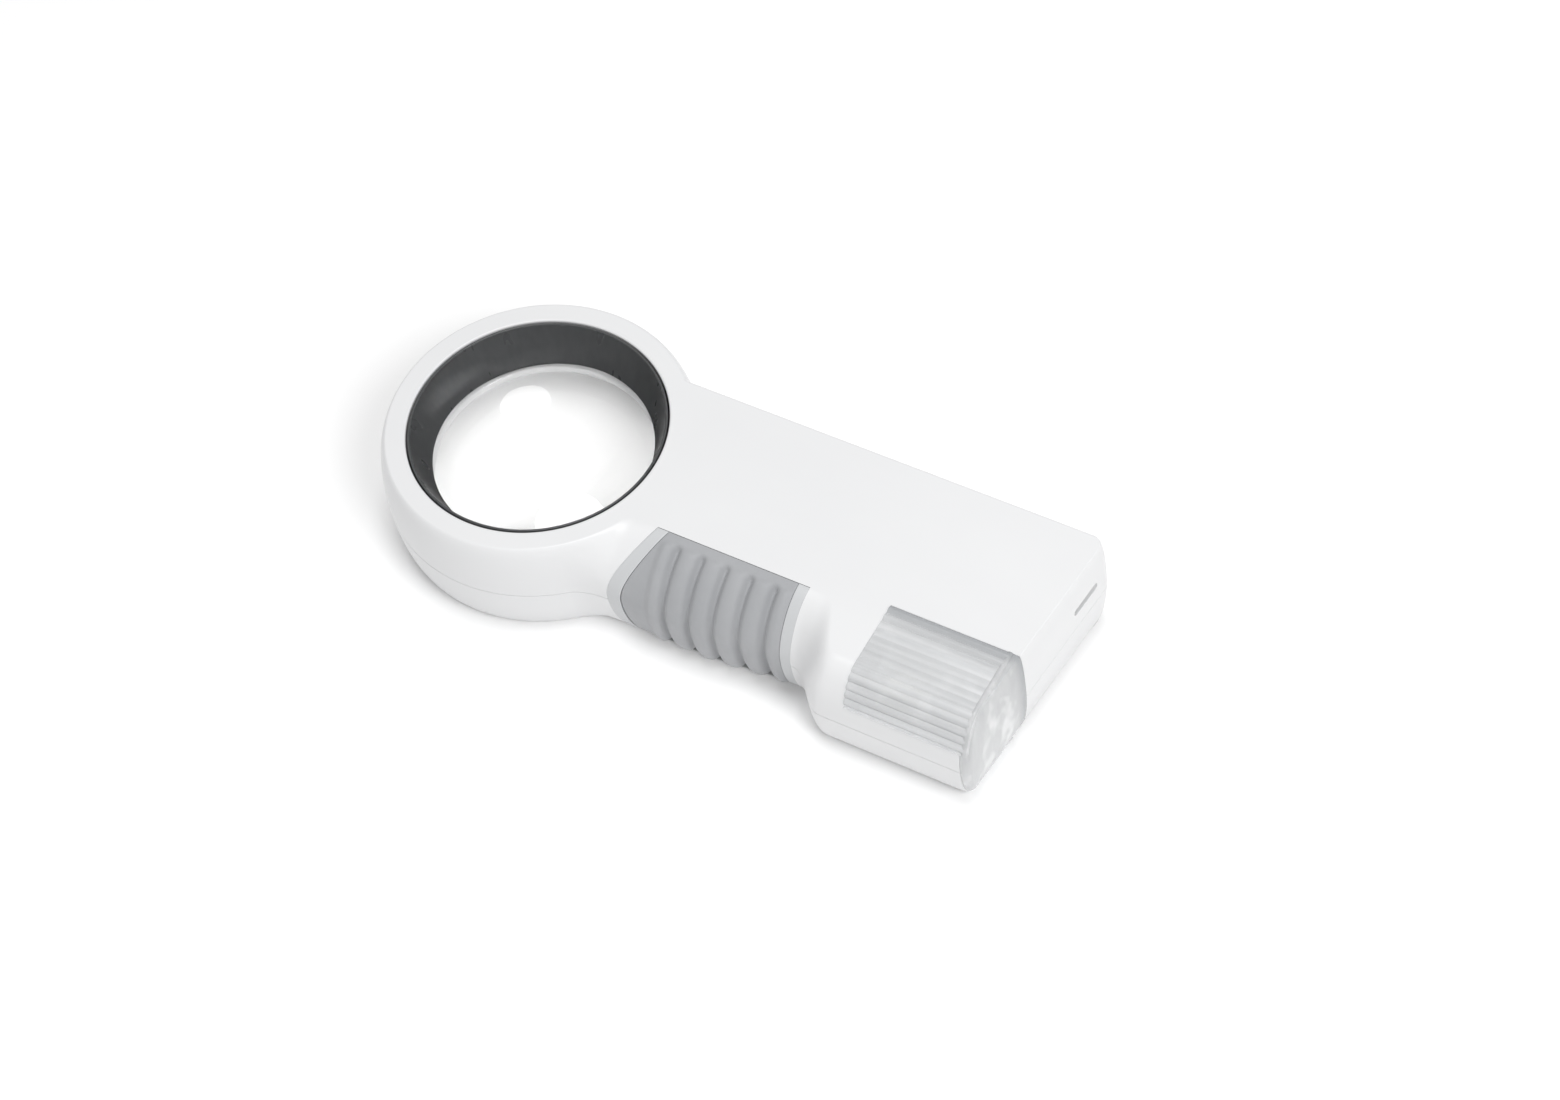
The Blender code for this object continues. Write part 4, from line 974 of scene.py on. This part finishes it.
def map_range(tree, value, source, target, interpolation="LINEAR"):
    """Bring a value from one range to another."""
    settings = {"Value": value, "From Min": source[0], "From Max": source[1],
                "To Min": target[0], "To Max": target[1]}
    node = add_node(tree, "ShaderNodeMapRange", settings)
    node.interpolation_type = interpolation
    return node.outputs["Result"]


def remap(tree, value, low, high):
    """Bring a noise's middle range to low..high."""
    return map_range(tree, value, (0.3, 0.7), (low, high))


def calculate(tree, operation, value, other=0.0):
    node = add_node(tree, "ShaderNodeMath", {0: value, 1: other})
    node.operation = operation
    return node.outputs["Value"]


def axis_of(tree, vector, axis):
    return add_node(tree, "ShaderNodeSeparateXYZ", {"Vector": vector}).outputs[axis]


def blend_colours(tree, factor, first, second):
    """Mix two colours, or socket outputs, by a factor."""
    node = tree.nodes.new("ShaderNodeMix")
    node.data_type = "RGBA"
    first, second = ((*c, 1) if isinstance(c, tuple) else c for c in (first, second))
    fill_inputs(node, {"Factor": factor, 6: first, 7: second})
    return node.outputs[2]


def vary_colour(tree, shader, value, first, second):
    """Let a noise move the base colour between two colours."""
    mixed = blend_colours(tree, remap(tree, value, 0, 1), first, second)
    fill_inputs(shader, {"Base Color": mixed})


def vary_gloss(tree, shader, value, low, high):
    """Let a noise move the roughness between two values."""
    fill_inputs(shader, {"Roughness": remap(tree, value, low, high)})


def bump(tree, shader, height, strength, distance):
    settings = {"Height": height, "Strength": strength, "Distance": distance}
    normal = add_node(tree, "ShaderNodeBump", settings).outputs["Normal"]
    fill_inputs(shader, {"Normal": normal})


def let_lamp_rays_through(tree, shader, tint):
    """Lamp rays pass straight through clear pieces, so that what is under them stays lit."""
    lamp_ray = tree.nodes.new("ShaderNodeLightPath").outputs["Is Shadow Ray"]
    clear = add_node(tree, "ShaderNodeBsdfTransparent", {"Color": (*tint, 1)})
    settings = {"Fac": lamp_ray, 1: shader.outputs["BSDF"], 2: clear.outputs["BSDF"]}
    mix = add_node(tree, "ShaderNodeMixShader", settings)
    fill_inputs(tree.nodes["Material Output"], {"Surface": mix.outputs["Shader"]})


def moulded_plastic(name, colour, other, roughness):
    """Injection-moulded plastic: faint flow shading, uneven gloss and a very fine grain."""
    material, tree, shader = new_material(name, colour, roughness)
    vary_colour(tree, shader, noise(tree, 45, (0.5, 1, 1), 3), colour, other)
    vary_gloss(tree, shader, noise(tree, 140, detail=3), roughness - 0.03, roughness + 0.04)
    bump(tree, shader, noise(tree, 3500, detail=2), 0.12, 0.02 * MM)
    return material


def rubber_material():
    """Soft-touch grey rubber: a dusty surface with a fine pebbled grain."""
    material, tree, shader = new_material("soft_grip_rubber", (0.34, 0.35, 0.36), 0.62)
    vary_colour(tree, shader, noise(tree, 120, detail=6), (0.33, 0.337, 0.35),
                (0.36, 0.366, 0.378))
    vary_gloss(tree, shader, noise(tree, 700), 0.52, 0.7)
    fill_inputs(shader, {"Sheen Weight": 0.15, "Sheen Roughness": 0.5})
    pebbles = add_node(tree, "ShaderNodeTexVoronoi", {"Vector": place(tree), "Scale": 2600})
    bump(tree, shader, pebbles.outputs["Distance"], 0.3, 0.04 * MM)
    return material


def sleeve_material():
    """Satin charcoal plastic with faint draw marks along the lens axis."""
    material, tree, shader = new_material("charcoal_sleeve", (0.06, 0.062, 0.064), 0.3)
    marks = noise(tree, 900, (1, 1, 0.04), 1)
    vary_colour(tree, shader, marks, (0.056, 0.058, 0.06), (0.063, 0.065, 0.067))
    vary_gloss(tree, shader, noise(tree, 300, (1, 1, 0.1), 2), 0.26, 0.34)
    bump(tree, shader, marks, 0.02, 0.01 * MM)
    return material


def lens_material():
    """Polished glass with a trace of fingerprints."""
    material, tree, shader = new_material("lens_glass", (0.98, 0.98, 0.978), 0.01,
                                          transmission=1.0, ior=1.5)
    vary_gloss(tree, shader, noise(tree, 90, detail=8, roughness=0.7), 0.0, 0.035)
    let_lamp_rays_through(tree, shader, (0.6, 0.6, 0.6))
    return material


def cover_material(name, stretch, relief, roughness, highlight_strength):
    """Milky grey-white plastic with soft flow lines, painted highlight clouds and painted shade
    along its back edge.
    """
    material, tree, shader = new_material(name, (0.8, 0.81, 0.82), roughness,
                                          transmission=0.4, ior=1.49)
    streaks = noise(tree, 500, stretch, 3)
    milky = blend_colours(tree, remap(tree, streaks, 0, 1), (0.635, 0.642, 0.65),
                          (0.765, 0.77, 0.777))
    # Painted highlights: pale clouds mixed into the base colour stand in for glints on the glossy
    # plastic.
    painted_highlight = map_range(tree, noise(tree, 190, (1, 1, 0.6), 2), (0.54, 0.68), (0, highlight_strength))
    milky = blend_colours(tree, painted_highlight, milky, (0.96, 0.965, 0.97))
    # Painted shade: the base colour darkens towards the back edge, standing in for the shaded gap
    # along it.
    edge = map_range(tree, axis_of(tree, place(tree), "Y"),
                     (COVER_BACK_Y - COVER_PAINTED_SHADE_WIDTH, COVER_BACK_Y), (0, 1), "SMOOTHSTEP")
    fill_inputs(shader, {"Base Color": blend_colours(tree, edge, milky, (0.46, 0.475, 0.49))})
    vary_gloss(tree, shader, noise(tree, 250), roughness - 0.04, roughness + 0.06)
    bump(tree, shader, streaks, relief, 0.1 * MM)
    let_lamp_rays_through(tree, shader, (0.6, 0.61, 0.62))
    return material


def window_material():
    """Clear plastic with faint moulding ripples."""
    material, tree, shader = new_material("clear_window", (0.97, 0.98, 0.985), 0.04,
                                          transmission=1.0, ior=1.49)
    vary_gloss(tree, shader, noise(tree, 400), 0.02, 0.08)
    bump(tree, shader, noise(tree, 300), 0.1, 0.05 * MM)
    let_lamp_rays_through(tree, shader, (0.95, 0.96, 0.97))
    return material


def steel_material():
    """Plated steel with a fine brush along Z."""
    bright, dull = (0.72, 0.72, 0.73), (0.576, 0.576, 0.584)
    material, tree, shader = new_material("plated_steel", bright, 0.28, metallic=1.0)
    vary_colour(tree, shader, noise(tree, 300), bright, dull)
    brush = noise(tree, 2500, (1, 1, 0.1), 3)
    vary_gloss(tree, shader, brush, 0.2, 0.38)
    bump(tree, shader, brush, 0.15, 0.01 * MM)
    return material


def board_material(name, mask, tracks_colour):
    """Solder mask over copper tracks."""
    material, tree, shader = new_material(name, mask, 0.35)
    lighter = [1.1 * c for c in mask]
    settings = {"Vector": place(tree, turn=(90, 0, 35)), "Scale": 260, "Mortar Size": 0.06,
                "Color1": (*mask, 1), "Color2": (*lighter, 1), "Mortar": (*tracks_colour, 1)}
    tracks = add_node(tree, "ShaderNodeTexBrick", settings)
    fill_inputs(shader, {"Base Color": tracks.outputs["Color"]})
    vary_gloss(tree, shader, noise(tree, 900), 0.28, 0.42)
    bump(tree, shader, tracks.outputs["Fac"], 0.3, 0.03 * MM)
    return material


def led_material():
    """Clear resin over a warm phosphor."""
    material, tree, shader = new_material("led_resin", (0.95, 0.9, 0.7), 0.08,
                                          transmission=0.5, ior=1.53)
    vary_colour(tree, shader, noise(tree, 700), (0.97, 0.9, 0.62), (0.98, 0.96, 0.86))
    vary_gloss(tree, shader, noise(tree, 1500), 0.05, 0.12)
    return material


def cell_material(left_x, copper_right):
    """A jacket in two tones with a pale line between them; the end discs are bare steel."""
    material, tree, shader = new_material("cell_jacket", (0.08, 0.1, 0.14), 0.3)
    dark, pale, copper = (0.05, 0.06, 0.08), (0.5, 0.52, 0.55), (0.55, 0.3, 0.12)
    tones, line_ends = (dark, pale, copper), (0.7, 0.73)
    if not copper_right:
        tones, line_ends = (copper, pale, dark), (0.27, 0.3)
    along = map_range(tree, axis_of(tree, place(tree), "X"), (left_x, left_x + CELL_LENGTH), (0, 1))
    jacket = tones[0]
    for tone, start in zip(tones[1:], line_ends):
        past = calculate(tree, "GREATER_THAN", along, start)
        jacket = blend_colours(tree, past, jacket, tone)
    normal = tree.nodes.new("ShaderNodeNewGeometry").outputs["Normal"]
    facing = calculate(tree, "ABSOLUTE", axis_of(tree, normal, "X"))
    disc = calculate(tree, "GREATER_THAN", facing, 0.6)
    colour = blend_colours(tree, disc, jacket, (0.7, 0.7, 0.71))
    fill_inputs(shader, {"Base Color": colour, "Metallic": disc})
    vary_gloss(tree, shader, noise(tree, 500), 0.24, 0.36)
    return material


def lead_material(name, colour):
    """Soft insulation with a slight unevenness."""
    material, tree, shader = new_material(name, colour, 0.45)
    vary_colour(tree, shader, noise(tree, 800), colour, tuple(0.75 * c for c in colour))
    vary_gloss(tree, shader, noise(tree, 1500), 0.38, 0.52)
    return material


def dress_nodes(material, *names):
    """Give carried-over CAD nodes a finished material."""
    for name in names:
        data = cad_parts[name].data
        data.materials.clear()
        data.materials.append(material)


# ---- stage

def make_floor():
    """A wide pale surface just under the object."""
    material, tree, shader = new_material("pale_floor", (0.96, 0.96, 0.96), 0.6)
    vary_colour(tree, shader, noise(tree, 3), (0.95, 0.95, 0.95), (0.97, 0.97, 0.97))
    shape = bmesh.new()
    half = 2.5
    corners = [(-half, -half), (half, -half), (half, half), (-half, half)]
    shape.faces.new([shape.verts.new((x, y, -0.05 * MM)) for x, y in corners])
    floor = mesh_object("floor", shape)
    floor.data.materials.append(material)


def add_area_light(name, place_m, size, power, mirrored=True):
    """A round lamp aimed at the origin; if it isn't mirrored, glossy pieces don't show it."""
    light = bpy.data.lights.new(name, "AREA")
    light.shape = "DISK"
    light.size = size
    light.energy = power
    lamp = new_object(name, light)
    lamp.location = place_m
    lamp.rotation_euler = Vector(place_m).to_track_quat("Z", "Y").to_euler()
    lamp.visible_glossy = mirrored


def light_stage():
    world = bpy.data.worlds.new("studio")
    world.use_nodes = True
    fill_inputs(world.node_tree.nodes["Background"], {"Color": (1, 1, 1, 1), "Strength": 0.54})
    bpy.context.scene.world = world
    bpy.context.scene.view_settings.view_transform = "Standard"
    add_area_light("key", (0.56, -0.23, 0.68), 0.4, 3.8, mirrored=False)
    add_area_light("fill", (0.1, -0.9, 0.5), 0.8, 0.3)
    add_area_light("above", (0.0, 0.05, 1.1), 0.5, 4.15)


def aim_camera():
    """The photograph's viewpoint: from the front right, well above, tilted a little."""
    azimuth, elevation, roll = (math.radians(a) for a in CAMERA_ANGLES)
    back = Vector((math.sin(azimuth) * math.cos(elevation),
                   -math.cos(azimuth) * math.cos(elevation), math.sin(elevation)))
    camera = bpy.data.cameras.new("camera")
    camera.sensor_width = 36
    camera.lens = CAMERA_LENS
    camera.clip_start = 0.01
    viewer = new_object("camera", camera)
    viewer.location = Vector(CAMERA_TARGET) + back * CAMERA_DISTANCE
    viewer.rotation_mode = "QUATERNION"
    viewer.rotation_quaternion = back.to_track_quat("Z", "Y") @ Quaternion((0, 0, 1), -roll)
    bpy.context.scene.camera = viewer


def make_inside():
    """The cells and screws get finer shapes; the small inner nodes keep the CAD's."""
    steel = steel_material()
    for k, spot in enumerate(SCREW_PLACES):
        make_screw(k + 1, spot, steel)
    for node, nipple_right in (("cell_1", True), ("cell_2", False)):
        left_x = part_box(node)[0][0] - LENS_X
        make_cell(f"round_{node}", node, nipple_right, cell_material(left_x, nipple_right))
    dress_nodes(steel, "grip_hinge_pin", "contact_bridge", "contact_plus", "contact_minus",
                "contact_spring_1", "contact_spring_2")
    dress_nodes(board_material("green_board", (0.012, 0.12, 0.05), (0.06, 0.3, 0.13)),
                "switch_board")
    dress_nodes(board_material("white_board", (0.7, 0.71, 0.7), (0.6, 0.62, 0.6)),
                "led_board", "lamp_board")
    dress_nodes(led_material(), "reading_led", "lamp_led")
    dress_nodes(moulded_plastic("black_carrier", (0.045, 0.045, 0.047), (0.06, 0.06, 0.062), 0.5),
                "grip_lever", "battery_tray", "grip_switch")
    for name, colour in (("red", (0.5, 0.03, 0.02)), ("black", (0.02, 0.02, 0.022))):
        dress_nodes(lead_material(f"{name}_lead", colour), f"reading_lead_{name}",
                    f"lamp_lead_{name}")


def main():
    aim_camera()
    light_stage()
    make_floor()
    white = moulded_plastic("white_casing", (0.70, 0.703, 0.71), (0.715, 0.718, 0.724), 0.32)
    for make in (make_upper_shell, make_lower_shell, make_door):
        make(white)
    make_lens(lens_material())
    make_sleeve(sleeve_material())
    make_retainer(white)
    make_light_window(window_material())
    make_grip(rubber_material(), moulded_plastic("light_grey_trim", (0.5, 0.51, 0.52),
                                                 (0.54, 0.55, 0.56), 0.4))
    # The last argument is the strength of the painted highlight clouds.
    make_lamp_cover(cover_material("translucent_cover", (0.05, 1, 1), 0.35, 0.18, 0.15),
                    cover_material("translucent_cap", (0.3, 0.5, 0.16), 1.0, 0.05, 0.9))
    make_inside()


main()
